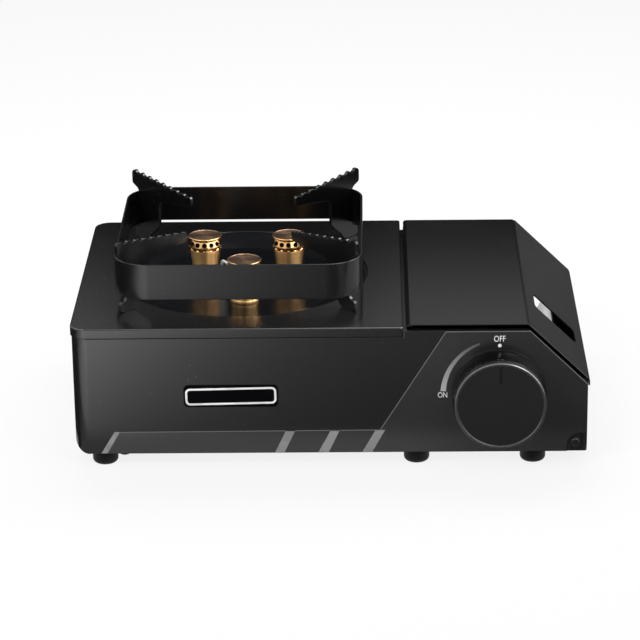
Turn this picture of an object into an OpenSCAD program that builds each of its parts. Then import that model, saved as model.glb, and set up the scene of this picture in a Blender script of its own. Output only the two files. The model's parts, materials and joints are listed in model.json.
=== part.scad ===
// Butane cassette stove: a pressed-steel case with a burner on the left and a canister bay on the right.
// Millimetres. +X runs towards the canister bay, +Y to the rear, +Z up.
// Origin: middle of the footprint, from knob face to rear edge, on the surface that the feet stand on.
// Inside the modules, X starts at the burner plate's left edge, Y at its front edge, Z under the case.

/* [Case] */
// Overall width, over the burner plate and the lid
body_w = 280; // [276:1:310]
// Depth of the burner plate and of the lid
body_d = 178; // [172:1:210]
// Height of the burner plate's top above the underside of the case
deck_h = 72.7; // [72:0.1:82]
// Thickness of the folded and pressed sheet
sheet_t = 0.8; // [0.6:0.1:1]
// How far the case's walls stand in from the burner plate's edges
wall_inset = 0.6; // [0.3:0.1:1.2]
// Radius of the two upright corners on the left
case_r = 9; // [6:0.5:12]
// Radius of the two upright corners on the right
case_right_r = 3; // [2:0.5:5]
// Radius where the left wall turns under the case
sill_r = 8; // [5:0.5:11]
// Width of the sill that the base plate lies on
sill_w = 17; // [16:0.5:19]
// Width of the rim that the burner plate stands on
rim_w = 8; // [6:0.5:9]
// Width of the ledge at the canister bay's front
ledge_front = 8; // [7:0.5:9]
// Width of the ledge at the canister bay's rear and left
ledge_w = 4; // [3.5:0.5:4.5]
// Width of the recess for the corner screw
corner_w = 11; // [10:0.5:12]
// Height of the recess for the corner screw
corner_h = 10.4; // [9.5:0.1:12]

/* [Burner plate] */
// Height of the burner plate's skirt
skirt_h = 5.4; // [4.5:0.1:7]
// Shadow gap between the skirt and the case
skirt_gap = 0.5; // [0.3:0.1:1]
// Radius of the drip bowl's opening
bowl_r = 70.4; // [66:0.2:74]
// Depth of the drip bowl below the plate's top
bowl_depth = 6.2; // [5:0.1:8]
// Radius of the drip bowl's flat floor
bowl_floor_r = 56; // [50:1:60]

/* [Lid] */
// Overall width of the lid
lid_w = 99.1; // [97:0.1:103]
// Gap between the burner plate and the lid
lid_gap = 1.6; // [1.4:0.1:2.4]
// How far the lid's front edge stands back from the case's front
lid_setback = 4; // [3:0.2:5]
// Width of the lid's level part
lid_flat = 65.8; // [64:0.2:68]
// How far the slanted part falls
lid_drop = 32.3; // [28:0.1:34]
// Height of the lip below the slanted part
lid_lip = 3.4; // [2.5:0.1:4.5]
// Outer radius of the lid's rolled hinge edge
roll_r = 2.4; // [2.3:0.1:2.8]
// Drop from the lid's top to the ledge below it
ledge_drop = 2.4; // [2:0.1:3]
// Depth of the flange across the lid's front
flange_h = 5; // [4:0.5:6]
// Width of the slot in the slanted part, front to rear
slot_w = 20; // [16:0.5:24]
// Length of the slot down the slant
slot_l = 32; // [26:0.5:34]
// Radius of the hinge rod
rod_r = 1; // [0.9:0.05:1.1]
// Radial running clearance on the hinge rod
rod_play = 0.05; // [0.03:0.01:0.08]

/* [Knob] */
// Diameter of the knob's face
knob_d = 49.6; // [46:0.2:52]
// Diameter of the knob where it meets the case
knob_base_d = 51.2; // [47:0.2:53]
// How far the knob's face stands out from the burner plate's front edge
knob_reach = 16.2; // [14:0.2:20]
// Gap between the knob and the case
knob_gap = 0.8; // [0.5:0.1:1.5]
// Distance from the knob's axis to the right-hand edge
knob_edge = 49; // [47:0.5:50]
// Height of the knob's axis above the underside of the case
knob_z = 33.4; // [31:0.2:35]
// Radius of the spindle
spindle_r = 3; // [2.5:0.1:3.2]
// Turn of the knob from off to full flame, degrees
knob_turn = 90; // [80:1:100]
// Stroke of the igniter's plunger over that turn
cam_rise = 3.5; // [2:0.1:4]

/* [Burner heads] */
// Diameter of a burner head's top
head_d = 19; // [17:0.2:20]
// Height of the heads' tops above the burner plate
head_rise = 17.6; // [16:0.2:22]
// Distance from head to head
head_pitch = 47.4; // [44:0.2:52]
// Flame ports round each head
port_count = 14; // [10:1:16]
// Offset of the three heads from the drip bowl's middle, towards the lid
head_shift = 2.3; // [0:0.1:3]

/* [Pan support] */
// Width of the square band
ring_w = 135.4; // [128:0.2:140]
// Height of the band
ring_h = 20; // [16:0.2:22]
// Height of the band's lower edge above the burner plate
ring_lift = 8.6; // [8.5:0.1:12]
// Corner radius of the band
ring_r = 20; // [14:0.5:24]
// Thickness of the band
band_t = 1.2; // [1:0.1:1.6]
// Thickness of the arms
arm_t = 2; // [1.6:0.1:2.5]
// Height of the arms' outer tips above the burner plate
arm_outer_h = 41; // [38:0.5:46]
// Height of the arms' inner tips above the burner plate
arm_inner_h = 35; // [33:0.5:40]
// Distance from the middle to an arm's outer tip
arm_outer_s = 92; // [91:0.5:95]
// Distance from the middle to an arm's inner tip
arm_inner_s = 41.4; // [38:0.5:46]
// Teeth along an arm
tooth_count = 8; // [6:1:9]

/* [Canister bay] */
// Inner radius of the canister's cradle
cradle_r = 34.2; // [33.8:0.1:34.4]
// Front end of the cradle, from the case's front
cradle_y = 46; // [44:1:60]

/* [Feet] */
// Height of the rubber feet
foot_h = 7.5; // [6:0.5:10]
// Diameter of the rubber feet
foot_d = 14; // [13:0.5:15]
// Distance from the front or rear edge to a foot's middle
foot_inset = 8.6; // [8.2:0.1:9]

/* [Hidden] */
$fn = 64;

clear = 0.3;        // fitting clearance between sheet parts
hole_play = 0.1;    // radial clearance of a screw in its hole
bite = 0.01;        // how far a cut runs past a face

// Case
plate_w = body_w - lid_w - lid_gap;     // width of the burner plate
case_x0 = wall_inset;
case_x1 = body_w - sheet_t - clear;
case_y0 = wall_inset;
case_y1 = body_d - wall_inset;
front_in = case_y0 + sheet_t;           // inner face of the front wall
rear_in = case_y1 - sheet_t;
right_in = case_x1 - sheet_t;
rim_z = deck_h - skirt_h - skirt_gap;   // top of the rim under the burner plate
shelf_z = deck_h - ledge_drop;          // top of the ledge round the canister bay
step_x = plate_w + lid_gap / 2;         // where the rim steps up to the ledge
base_z = 2 * sheet_t;                   // top of the base plate

// Lid
lid_x0 = plate_w + lid_gap;
crease_x = lid_x0 + lid_flat;
slant_k = lid_drop / (body_w - crease_x);
slant_a = atan(slant_k);
slant_c = cos(slant_a);
roll_stop = 150;                        // the rolled edge ends at this angle round the rod
pivot_x = lid_x0 + roll_r;
pivot_z = deck_h - roll_r;
flange_y = case_y0 + ledge_front + 1;   // front flange of the lid, behind the ledge
rear_ear_y = body_d - 8;
ear_w = 12;
bumper_y = [(lid_setback + case_y0 + ledge_front) / 2, case_y1 - ledge_w / 2];
slot_y = lid_setback + 51.5;            // middle of the slot
slot_s = 23.6;                          // middle of the slot, down the slant from the crease
slot_corner_r = 3;

// Drip bowl and burner
bowl_x = plate_w / 2 + 0.35;
bowl_y = body_d / 2;
bowl_lap = 4;                           // how far the bowl's rim reaches under the plate
bowl_z = deck_h - bowl_depth;           // top of the bowl's floor
burner_x = bowl_x + head_shift;
burner_y = bowl_y;
head_reach = head_pitch / sqrt(3);
head_angles = [30, 150, 270];
neck_r = 5.4;
stem_r = 7.3;
stem_bore_r = 4.2;
stem_top_r = head_d / 2 - 0.9;          // a stem widens to this under its cap
stem_flare = 9;                         // height of the widening part
socket_r = 6.2;
flange_r = 8.2;
flange_t = 1.5;
cap_h = 7.8;
cap_z = deck_h + head_rise - cap_h;     // where a cap sits on its stem
port_r = 1;
port_z = cap_z + 4.1;
spigot_h = 4;

// Manifold under the bowl
boss_r = 9;
boss_top = bowl_z - sheet_t;
mani_drop = 12.7;                       // manifold's top below the burner plate's top
mani_h = 10;
mani_z0 = deck_h - mani_drop - mani_h;
mani_z1 = deck_h - mani_drop;
mani_mid = (mani_z0 + mani_z1) / 2;
mani_hub_r = 11;
mani_foot = 5;
strap_w = 16;
strap_t = 1.2;
strap_z = mani_z0 - mani_foot;          // top of the strap that carries the manifold
strap_front = 44;
strap_rear = 26;
mount_dy = [-head_reach, 7];            // the strap's two screws, from the burner's middle

// Knob and valve
knob_x = body_w - knob_edge;
knob_front = -knob_reach;
knob_back = case_y0 - knob_gap;
knob_wall = 2;
spindle_front = knob_front + 3.4;
bracket_y = 12;
bracket_t = 1.2;
valve_y = bracket_y + bracket_t;        // front face of the regulator's body
valve_r = 13;
valve_len = 14.8;
bracket_up = 15;                        // bracket's top above the knob's axis
bracket_down = 12;                      // lower edge of the bracket's igniter arm below it
bracket_right = 7;
bracket_left = 18;
bracket_foot = 13;
bracket_screw_dx = [-13, 4];
plug_r = spindle_r + 1.5;
plug_play = 0.05;
plug_y0 = valve_y + 3.2;
plug_y1 = valve_y + 10.8;
cam_r = spindle_r + 3;
cam_y0 = 5.2;
cam_t = 4;
cam_y = cam_y0 + cam_t / 2;
nose_r = 1;
nose_gap = 0.4;
plunger_r = 2;
plunger_x = knob_x - cam_r - nose_gap - nose_r;   // middle of the plunger's nose
piezo_x1 = plunger_x - cam_rise - 1.1;
piezo_x0 = piezo_x1 - 22;
piezo_h = 10;
piezo_y0 = bracket_y - 9.6;

// Canister and its inlet
can_x = knob_x;
can_z = base_z + sheet_t + cradle_r + 0.2;
tail_r = cradle_r + 1.8;                // opening in the rear wall for the canister's tail
boss_y = valve_y + valve_len;
holder_y = boss_y + 2;
holder_t = 1.5;
holder_r = 17.5;
magnet_ring_r = 12;
magnet_r = 4.5;
magnet_t = 3;
seal_t = 2;
tip_y = holder_y + 7;

// Diaphragm housing on the regulator's right
cup_r = 13;
cup_in_r = 9.5;
cup_y = valve_y + 2.3;
cup_x0 = knob_x + 8;
cup_x1 = knob_x + 17;
skin_t = 0.8;
cover_x1 = cup_x1 + skin_t + 9.2;
cover_t = 1.5;
cover_pcr = 11.3;
spring_r = 3.5;
spring_wire = 0.5;

// Gas jet and mixing tube, on one slanted line from the regulator to the manifold
jet_dx = 25;                            // jet's tip from the knob's axis
jet_dy = 13.8;
jet_dz = 5;
jet_x = knob_x - jet_dx;
jet_y = valve_y + jet_dy;
jet_z = knob_z + jet_dz;
run_x = burner_x - jet_x;
run_y = burner_y - jet_y;
run_z = mani_mid - jet_z;
run_len = norm([run_x, run_y, run_z]);
port_y = jet_y - 18 * run_y / run_len;  // where the jet's passage meets the valve
port_z2 = jet_z - 18 * run_z / run_len;
tube_az = atan2(run_y, run_x);
tube_tilt = acos(run_z / run_len);
tube_r = 7;
tube_t = 0.8;
bell_r = 9;
bell_len = 7;
air_gap = 4;
socket_wall = 1.2;
socket_reach = 26;                      // how far the manifold's socket stands out
socket_depth = 12;
jet_len = 9;

// Divider between burner and canister bay
divider_x = step_x + 2.3;
divider_flange = 10;
divider_left = 11;
divider_right = 7;
divider_y0 = front_in + clear;
divider_y1 = rear_in - clear;
divider_top = rim_z - sheet_t;          // top of the divider's flange, under the case's rim
tube_t_div = (divider_x - jet_x) / run_x;
tube_hole_y = jet_y + run_y * tube_t_div;
tube_hole_z = jet_z + run_z * tube_t_div;
ear_t = 1.5;
ear_y = [flange_y + 3.4, body_d - 13.5];
rod_y0 = flange_y - 0.4;
rod_y1 = rear_ear_y + sheet_t + 0.4;

// Fasteners
screw_r = 1.5;
head_r = 2.9;
head_h = 1.4;
foot_x = [16.5, divider_x + sheet_t + 3.3, knob_x + 18.7];
foot_y = [foot_inset, body_d - foot_inset];
foot_bore_r = screw_r + 2.1;
foot_seat = 3.5;
base_screw_pos = [[27.5, 4.8], [27.5, body_d - 4.8], [120, 12], [120, body_d - 12],
    [body_w - 13, 20], [body_w - 13, body_d - 14]];
stud_r = 3;
stud_pos = [[5.2, 22], [5.2, body_d - 22], [plate_w - 32, 5.4], [plate_w - 32, body_d - 5.4]];
corner_x = case_x1 - 6.6;
corner_z = 5.1;
tab_y = front_in + clear;
badge_x = 60.7;
badge_z = 27.4;
badge_w = 51;
badge_h = 12.5;
badge_r = 2.5;
badge_t = wall_inset;

// Electrode between the front head and the rear left head
spark_x = burner_x - 13.3;
spark_y = burner_y - 9;
ceramic_r = 2.2;
ceramic_z0 = mani_z0 - 6;
ceramic_z1 = bowl_z + 11.5;
spark_wire = 0.7;
spark_az = 300;                         // direction of the tip, towards the front head
lead_r = 1.2;
lead_end = lead_r + 0.02;               // from the end of the lead's last bend to what it is plugged into
lead_route = [[piezo_x0 - lead_end, bracket_y - 4.8, knob_z], [piezo_x0 - 5, bracket_y - 4.8, knob_z],
    [piezo_x0 - 7, bracket_y + 6, 24], [divider_x + 4, 26, 20], [divider_x - 9, 28, 20],
    [132, 46, 9], [84, 73, 9], [spark_x, spark_y, 13], [spark_x, spark_y, ceramic_z0 - lead_end]];
lead_hole = [27, 20];

// Pan support
arm_stem_in = 69.3;
arm_stem_out = (ring_w / 2 - ring_r) * sqrt(2) + ring_r - band_t - 0.05;
ring_top = ring_lift + ring_h;
tooth_r = 2.4;
tooth_bite = 1.3;

// Moves a part from the case's own frame to the model's
module place() {
    translate([-body_w / 2, -(body_d - knob_reach) / 2, foot_h]) children();
}

// Raises an outline drawn in X and Y from z0 to z1
module upright(z0, z1) {
    translate([0, 0, z0]) linear_extrude(z1 - z0) children();
}

// Runs an outline drawn in X and Z from y0 to y1
module across(y0, y1) {
    translate([0, y1, 0]) rotate([90, 0, 0]) linear_extrude(y1 - y0) children();
}

// A round bar along Y, from y0 to y1
module bar_y(x, z, r, y0, y1) {
    translate([x, y0, z]) rotate([-90, 0, 0]) cylinder(r = r, h = y1 - y0);
}

// A round bar along X, from x0 to x1
module bar_x(y, z, r, x0, x1) {
    translate([x0, y, z]) rotate([0, 90, 0]) cylinder(r = r, h = x1 - x0);
}

// A block between two corners
module block(a, b) {
    translate(a) cube(b - a);
}

// Rectangle with one radius on the left and one on the right
module round_rect(x0, y0, x1, y1, rl, rr) {
    polygon([[x0 + rl, y0], [x1 - rr, y0], [x1, y0 + rr], [x1, y1 - rr],
        [x1 - rr, y1], [x0 + rl, y1], [x0, y1 - rl], [x0, y0 + rl]]);
    for (y = [y0 + rl, y1 - rl]) translate([x0 + rl, y]) circle(r = rl);
    for (y = [y0 + rr, y1 - rr]) translate([x1 - rr, y]) circle(r = rr);
}

// Head below z, shank above it
module screw_up(x, y, z, shank, r = screw_r, hr = head_r, hh = head_h) {
    translate([x, y, z - hh]) cylinder(r = hr, h = hh);
    translate([x, y, z - bite]) cylinder(r = r, h = shank + bite);
}

// Head above z, shank below it
module screw_down(x, y, z, shank, r = screw_r, hr = head_r, hh = head_h) {
    translate([x, y, z]) cylinder(r = hr, h = hh);
    translate([x, y, z - shank]) cylinder(r = r, h = shank + bite);
}

function slant_at(x) = deck_h - (x - crease_x) * slant_k;
function shelf_at(x) = shelf_z - (x - crease_x) * slant_k;

// Front outline of the case, set in by i
module case_profile(i) {
    x0 = case_x0 + i;
    x1 = case_x1 - i;
    r = sill_r - i;
    crease = crease_x + i * (1 - 1 / slant_c) / slant_k;
    polygon([[x0 + r, i], [x1, i], [x1, shelf_at(x1) - i / slant_c], [crease, shelf_z - i],
        [step_x + i, shelf_z - i], [step_x + i, rim_z - i], [x0, rim_z - i], [x0, i + r]]);
    translate([x0 + r, i + r]) circle(r = r);
}

// Top outline of the case, set in by i
module case_plan(i) {
    round_rect(case_x0 + i, case_y0 + i, case_x1 - i, case_y1 - i, case_r - i, case_right_r - i);
}

module case_solid(i) {
    intersection() {
        across(case_y0 + i, case_y1 - i) case_profile(i);
        upright(i, shelf_z - i) case_plan(i);
    }
}

// Recess for the corner screw, open below and rounded at its upper left
module corner_outline() {
    x0 = case_x1 - corner_w;
    r = corner_h - 3.4;
    polygon([[x0, -1], [right_in, -1], [right_in, corner_h], [x0 + r, corner_h], [x0, corner_h - r]]);
    translate([x0 + r, corner_h - r]) circle(r = r);
}

module body_shell() {
    place() color("#26272a") difference() {
        case_solid(0);
        case_solid(sheet_t);
        // opening under the burner plate
        block([case_x0 + rim_w, case_y0 + rim_w, rim_z - 2 * sheet_t], [step_x - bite, case_y1 - rim_w, deck_h]);
        // opening over the canister bay
        block([step_x + ledge_w, case_y0 + ledge_front, shelf_at(case_x1) - 3],
            [body_w, case_y1 - ledge_w, deck_h]);
        block([step_x - bite, case_y0 + rim_w, rim_z - 2 * sheet_t],
            [step_x + ledge_w + bite, case_y1 - rim_w, deck_h]);
        // room for the lid's rolled edge to turn, open to the rear
        block([step_x - 1, case_y1 - rim_w - 1, rim_z], [step_x + ledge_w, body_d, deck_h]);
        block([step_x - 1, lid_setback - 0.3, rim_z], [step_x + ledge_w, case_y0 + ledge_front + 1, deck_h]);
        // underside inside the sill
        block([case_x0 + sill_w, case_y0 + sill_w, -1], [case_x1 - sill_w, case_y1 - sill_w, sheet_t + 0.5]);
        // passage for the canister's tail
        bar_y(can_x, can_z, tail_r, rear_in - ledge_w, body_d);
        block([can_x - tail_r, rear_in - ledge_w, can_z], [can_x + tail_r, body_d, deck_h]);
        // recess for the corner screw
        across(case_y0 - 1, front_in + bite) corner_outline();
        // spindle hole
        bar_y(knob_x, knob_z, spindle_r + 4, -1, front_in + 1);
        for (x = foot_x, y = foot_y) translate([x, y, -1]) cylinder(r = screw_r + hole_play, h = 3);
        for (p = base_screw_pos) translate([p.x, p.y, -1]) cylinder(r = screw_r + hole_play, h = 3);
        for (p = stud_pos) translate([p.x, p.y, rim_z - 2]) cylinder(r = screw_r + hole_play, h = 3);
    }
}

module base_plate() {
    x0 = case_x0 + sill_r + 0.5;
    x1 = right_in - clear;
    y0 = front_in + clear;
    y1 = rear_in - clear;
    place() color("#303134") difference() {
        union() {
            upright(sheet_t, base_z) round_rect(x0, y0, x1, y1, 3, case_right_r - sheet_t);
            block([case_x1 - corner_w - 2, tab_y, sheet_t], [x1 - 2, tab_y + sheet_t, corner_h + 1.5]);
        }
        for (x = [burner_x - 46, burner_x + 22], i = [0:4])
            block([x, burner_y - 34 + i * 14, 0], [x + 24, burner_y - 30 + i * 14, 3]);
        for (i = [0:3]) block([can_x - 46, 60 + i * 26, 0], [can_x - 41, 80 + i * 26, 3]);
        for (x = foot_x, y = foot_y) translate([x, y, 0]) cylinder(r = screw_r + hole_play, h = 3);
        for (p = base_screw_pos) translate([p.x, p.y, 0]) cylinder(r = screw_r + hole_play, h = 3);
        bar_y(corner_x, corner_z, screw_r + hole_play, tab_y - 1, tab_y + 3);
        for (dy = [-strap_front - 5, strap_rear + 5])
            translate([burner_x, burner_y + dy, 0]) cylinder(r = screw_r + hole_play, h = 3);
        for (dx = bracket_screw_dx) translate([knob_x + dx, valve_y + 8, 0]) cylinder(r = screw_r + hole_play, h = 3);
    }
}

module burner_plate() {
    z0 = deck_h - skirt_h;
    place() color("#2b2c2f") difference() {
        union() {
            difference() {
                upright(z0, deck_h) round_rect(0, 0, plate_w, body_d, case_r, 1.5);
                upright(z0 - 1, deck_h - sheet_t)
                    round_rect(sheet_t, sheet_t, plate_w - sheet_t, body_d - sheet_t, case_r - sheet_t, 0.7);
            }
            for (p = stud_pos) translate([p.x, p.y, rim_z]) cylinder(r = stud_r, h = deck_h - sheet_t - rim_z + bite);
        }
        translate([bowl_x, bowl_y, z0]) cylinder(r = bowl_r, h = skirt_h + 1, $fn = 128);
        for (p = stud_pos) translate([p.x, p.y, rim_z - 1]) cylinder(r = screw_r + hole_play, h = 5);
    }
}

module drip_bowl() {
    rim_r = bowl_r + bowl_lap;
    lip_r = bowl_r - 1.5;
    z1 = deck_h - sheet_t;
    place() color("#1d1e20") difference() {
        translate([bowl_x, bowl_y, 0]) rotate_extrude($fn = 128)
            polygon([[0, bowl_z], [bowl_floor_r, bowl_z], [lip_r, z1], [rim_r, z1],
                [rim_r, z1 - sheet_t], [lip_r + 0.4, z1 - sheet_t], [bowl_floor_r + 0.2, boss_top], [0, boss_top]]);
        at_heads() translate([0, 0, boss_top - 1]) cylinder(r = neck_r + hole_play, h = 4);
        translate([spark_x, spark_y, boss_top - 1]) cylinder(r = ceramic_r + hole_play, h = 4);
    }
}

module at_heads() {
    for (a = head_angles)
        translate([burner_x + head_reach * cos(a), burner_y + head_reach * sin(a), 0]) children();
}

module badge_plate() {
    place() color("#3a3b3e") across(case_y0 - badge_t, case_y0)
        round_rect(badge_x, badge_z, badge_x + badge_w, badge_z + badge_h, badge_r, badge_r);
}

module divider_panel() {
    z1 = divider_top;
    place() color("#2a2b2d") difference() {
        union() {
            block([divider_x, divider_y0, base_z], [divider_x + sheet_t, divider_y1, z1]);
            block([divider_x - divider_flange, divider_y0 + 3, base_z],
                [divider_x + bite, divider_y1 - 3, base_z + sheet_t]);
            block([divider_x - divider_left, divider_y0, z1 - sheet_t], [divider_x + divider_right, divider_y1, z1]);
        }
        bar_x(tube_hole_y, tube_hole_z, tube_r + 2.6, divider_x - 1, divider_x + 2);
        bar_x(lead_hole.x, lead_hole.y, lead_r + 1, divider_x - 1, divider_x + 2);
    }
}

module hinge_brackets() {
    foot_t = 1;
    place() color("#2a2b2d") for (y = ear_y) {
        difference() {
            union() {
                across(y, y + ear_t) polygon([[pivot_x - 0.3, pivot_z - rod_r - 0.4], [pivot_x + rod_r + 0.4, pivot_z],
                    [pivot_x + 5, pivot_z - 2.6], [pivot_x + 5, divider_top], [pivot_x - 0.3, divider_top]]);
                bar_y(pivot_x, pivot_z, rod_r + 0.45, y, y + ear_t);
                block([pivot_x - 0.3, y - 2, divider_top], [pivot_x + 5, y + ear_t + 3, divider_top + foot_t]);
            }
            bar_y(pivot_x, pivot_z, rod_r + 0.01, y - 1, y + ear_t + 1);
        }
    }
}

module hinge_rod() {
    place() color("#c9ccce") bar_y(pivot_x, pivot_z, rod_r, rod_y0, rod_y1);
}

// Outline of the lid's sheet, seen from the front; i is how far it is set in
module lid_profile(i) {
    x0 = lid_x0 + i;
    x1 = body_w - i;
    z1 = deck_h - i;
    r = roll_r - i;
    crease = crease_x + i * (1 - 1 / slant_c) / slant_k;
    low = deck_h - lid_drop - lid_lip;
    x1_z = slant_at(x1) - i / slant_c;
    polygon([[x0 + r, low], [x1, low], [x1, x1_z], [crease, z1], [x0 + r, z1]]);
    polygon([[x0, low], [x0 + roll_r, low], [x0 + roll_r, z1 - r], [x0, z1 - r]]);
    translate([pivot_x, pivot_z]) circle(r = r);
}

// The flange follows the lid's underside, short of the case's right wall
module flange_profile() {
    top = sheet_t / 2;
    crease = crease_x + top * (1 - 1 / slant_c) / slant_k;
    x1 = right_in - 1;
    polygon([[pivot_x, deck_h - top], [crease, deck_h - top], [x1, slant_at(x1) - top / slant_c],
        [x1, slant_at(x1) - flange_h], [crease_x, deck_h - flange_h], [pivot_x, deck_h - flange_h]]);
}

module lid() {
    slot_half = slot_l / 2 - slot_corner_r;
    place() color("#2b2c2f") difference() {
        union() {
            difference() {
                across(lid_setback, body_d) lid_profile(0);
                across(lid_setback - 1, body_d + 1) lid_profile(sheet_t);
                block([lid_x0 - 1, 0, 0], [body_w - 2 * sheet_t, body_d + 1, deck_h - lid_drop - lid_lip + 0.2]);
                // the rolled edge ends past the side of the rod
                block([lid_x0 - 1, 0, 0], [pivot_x, body_d + 1, pivot_z + roll_r * cos(roll_stop - 90) * 0.98]);
            }
            // front flange
            across(flange_y, flange_y + sheet_t) flange_profile();
            bar_y(pivot_x, pivot_z, roll_r - 0.1, flange_y, flange_y + sheet_t);
            // rear ear
            block([pivot_x, rear_ear_y, pivot_z - roll_r],
                [pivot_x + ear_w, rear_ear_y + sheet_t, deck_h - sheet_t / 2]);
            bar_y(pivot_x, pivot_z, roll_r - 0.1, rear_ear_y, rear_ear_y + sheet_t);
        }
        bar_y(pivot_x, pivot_z, rod_r + rod_play, flange_y - 1, rear_ear_y + 2);
        // slot in the slanted part
        translate([crease_x, slot_y, deck_h]) rotate([0, slant_a, 0]) translate([slot_s, 0, 0]) {
            block([-slot_half, -slot_w / 2, -3], [slot_half, slot_w / 2, 3]);
            block([-slot_l / 2, -slot_w / 2 + slot_corner_r, -3], [slot_l / 2, slot_w / 2 - slot_corner_r, 3]);
            for (s = [-slot_half, slot_half], y = [-1, 1])
                translate([s, y * (slot_w / 2 - slot_corner_r), -3]) cylinder(r = slot_corner_r, h = 6);
        }
    }
}

module lid_bumpers() {
    gap = ledge_drop - sheet_t - 0.1;
    place() color("#151515") {
        for (p = [[lid_x0 + 24, bumper_y.x], [(step_x + ledge_w + can_x - tail_r) / 2, bumper_y.y]])
            translate([p.x, p.y, shelf_z]) cylinder(r = 1.6, h = gap);
        for (p = [[crease_x + 20, bumper_y.x], [(can_x + tail_r + right_in) / 2, bumper_y.y]])
            translate([p.x, p.y, shelf_at(p.x)]) rotate([0, slant_a, 0])
                cylinder(r = 1.6, h = ledge_drop * slant_c - sheet_t - 0.1);
    }
}

module canister_cradle() {
    y1 = rear_in - ledge_w - 2;
    pad_w = 16;
    pad_l = 20;
    pad_t = 1.2;
    pad_inset = 4;
    over = cradle_r + 2 * sheet_t;
    place() color("#d7dadc") difference() {
        union() {
            bar_y(can_x, can_z, cradle_r + sheet_t, cradle_y, y1);
            for (y = [cradle_y + pad_inset, y1 - pad_inset - pad_l])
                block([can_x - pad_w / 2, y, base_z], [can_x + pad_w / 2, y + pad_l, base_z + pad_t]);
        }
        bar_y(can_x, can_z, cradle_r, cradle_y - 1, y1 + 1);
        block([can_x - over, cradle_y - 1, can_z], [can_x + over, y1 + 1, can_z + over]);
    }
}

module regulator_bracket() {
    place() color("#a7aaac") difference() {
        union() {
            block([piezo_x0 - 1, bracket_y, knob_z - bracket_down],
                [knob_x + bracket_right, valve_y, knob_z + bracket_up]);
            block([knob_x - bracket_left, bracket_y, base_z], [knob_x + bracket_right, valve_y, knob_z]);
            block([knob_x - bracket_left, bracket_y, base_z],
                [knob_x + bracket_right, valve_y + bracket_foot, base_z + bracket_t]);
        }
        bar_y(knob_x, knob_z, spindle_r + 0.5, bracket_y - 1, valve_y + 1);
        for (dz = [-9, 9]) bar_y(knob_x - 4, knob_z + dz, screw_r + hole_play, bracket_y - 1, valve_y + 1);
        for (dx = bracket_screw_dx) translate([knob_x + dx, valve_y + 8, 0]) cylinder(r = screw_r + hole_play, h = 5);
    }
}

// Cylinder along the gas line; d0 and d1 are distances from the jet towards the manifold
module along_gas(r, d0, d1, r2 = -1) {
    translate([jet_x, jet_y, jet_z]) rotate([0, 0, tube_az]) rotate([0, tube_tilt, 0])
        translate([0, 0, d0]) cylinder(r1 = r, r2 = r2 < 0 ? r : r2, h = d1 - d0);
}

module regulator_body() {
    place() color("#b9bcbe") difference() {
        union() {
            bar_y(knob_x, knob_z, valve_r, valve_y, boss_y);
            bar_y(can_x, can_z, 9, boss_y - 3, holder_y);
            bar_x(cup_y, knob_z, cup_r, cup_x0, cup_x1);
            along_gas(5, -19, -jet_len + 4);
        }
        bar_y(knob_x, knob_z, plug_r + plug_play, plug_y0 - 0.1, plug_y1 + 0.1);
        bar_y(knob_x, knob_z, spindle_r + 0.05, valve_y - 1, plug_y0 + 1);
        bar_y(knob_x, knob_z, plug_r, valve_y - 1, plug_y0 - 1);
        bar_y(can_x, can_z, 2, boss_y - 8, holder_y + 1);
        bar_x(cup_y, knob_z, cup_in_r, cup_x1 - 4, cup_x1 + 1);
        bar_x(valve_y + 7, knob_z, 1.2, knob_x, cup_x1);
        along_gas(1.2, -18.5, -jet_len + 5);
        bar_x(port_y, port_z2, 1.2, jet_x + 14, knob_x);
        along_gas(3.05, -jet_len, -jet_len + 5);
        for (dz = [-9, 9]) bar_y(knob_x - 4, knob_z + dz, screw_r + 0.02, valve_y - 1, valve_y + 7);
        for (a = [30, 150, 270]) bar_x(cup_y + cover_pcr * cos(a), knob_z + cover_pcr * sin(a), 0.92,
            cup_x1 - 4, cup_x1 + 1);
    }
}

module diaphragm() {
    place() color("#3b2f2a") difference() {
        bar_x(cup_y, knob_z, cup_r, cup_x1, cup_x1 + skin_t);
        for (a = [30, 150, 270]) bar_x(cup_y + cover_pcr * cos(a), knob_z + cover_pcr * sin(a), 0.95,
            cup_x1 - 1, cup_x1 + 2);
    }
}

module regulator_cover() {
    place() color("#c4c7c9") difference() {
        bar_x(cup_y, knob_z, cup_r, cup_x1 + skin_t, cover_x1);
        bar_x(cup_y, knob_z, cup_in_r, cup_x1, cover_x1 - cover_t);
        bar_x(cup_y, knob_z, 0.8, cup_x1, cover_x1 + 1);
        for (a = [30, 150, 270]) bar_x(cup_y + cover_pcr * cos(a), knob_z + cover_pcr * sin(a), 0.95,
            cup_x1, cover_x1 + 1);
    }
}

// Coil spring drawn as a stack of closed turns that touch each other
module regulator_spring() {
    x0 = cup_x1 + skin_t;
    x1 = cover_x1 - cover_t;
    turns = floor((x1 - x0) / (2 * spring_wire));
    step = (x1 - x0) / turns;
    place() color("#d0d2d4") translate([x0, cup_y, knob_z]) rotate([0, 90, 0]) rotate_extrude()
        for (i = [0:turns - 1]) translate([spring_r, (i + 0.5) * step]) circle(r = step / 2 + 0.02, $fn = 16);
}

module cover_screws() {
    place() color("#c9ccce") for (a = [30, 150, 270]) {
        y = cup_y + cover_pcr * cos(a);
        z = knob_z + cover_pcr * sin(a);
        bar_x(y, z, 0.9, cup_x1 - 3.5, cover_x1 + bite);
        bar_x(y, z, 1.6, cover_x1, cover_x1 + 1);
    }
}

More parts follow.
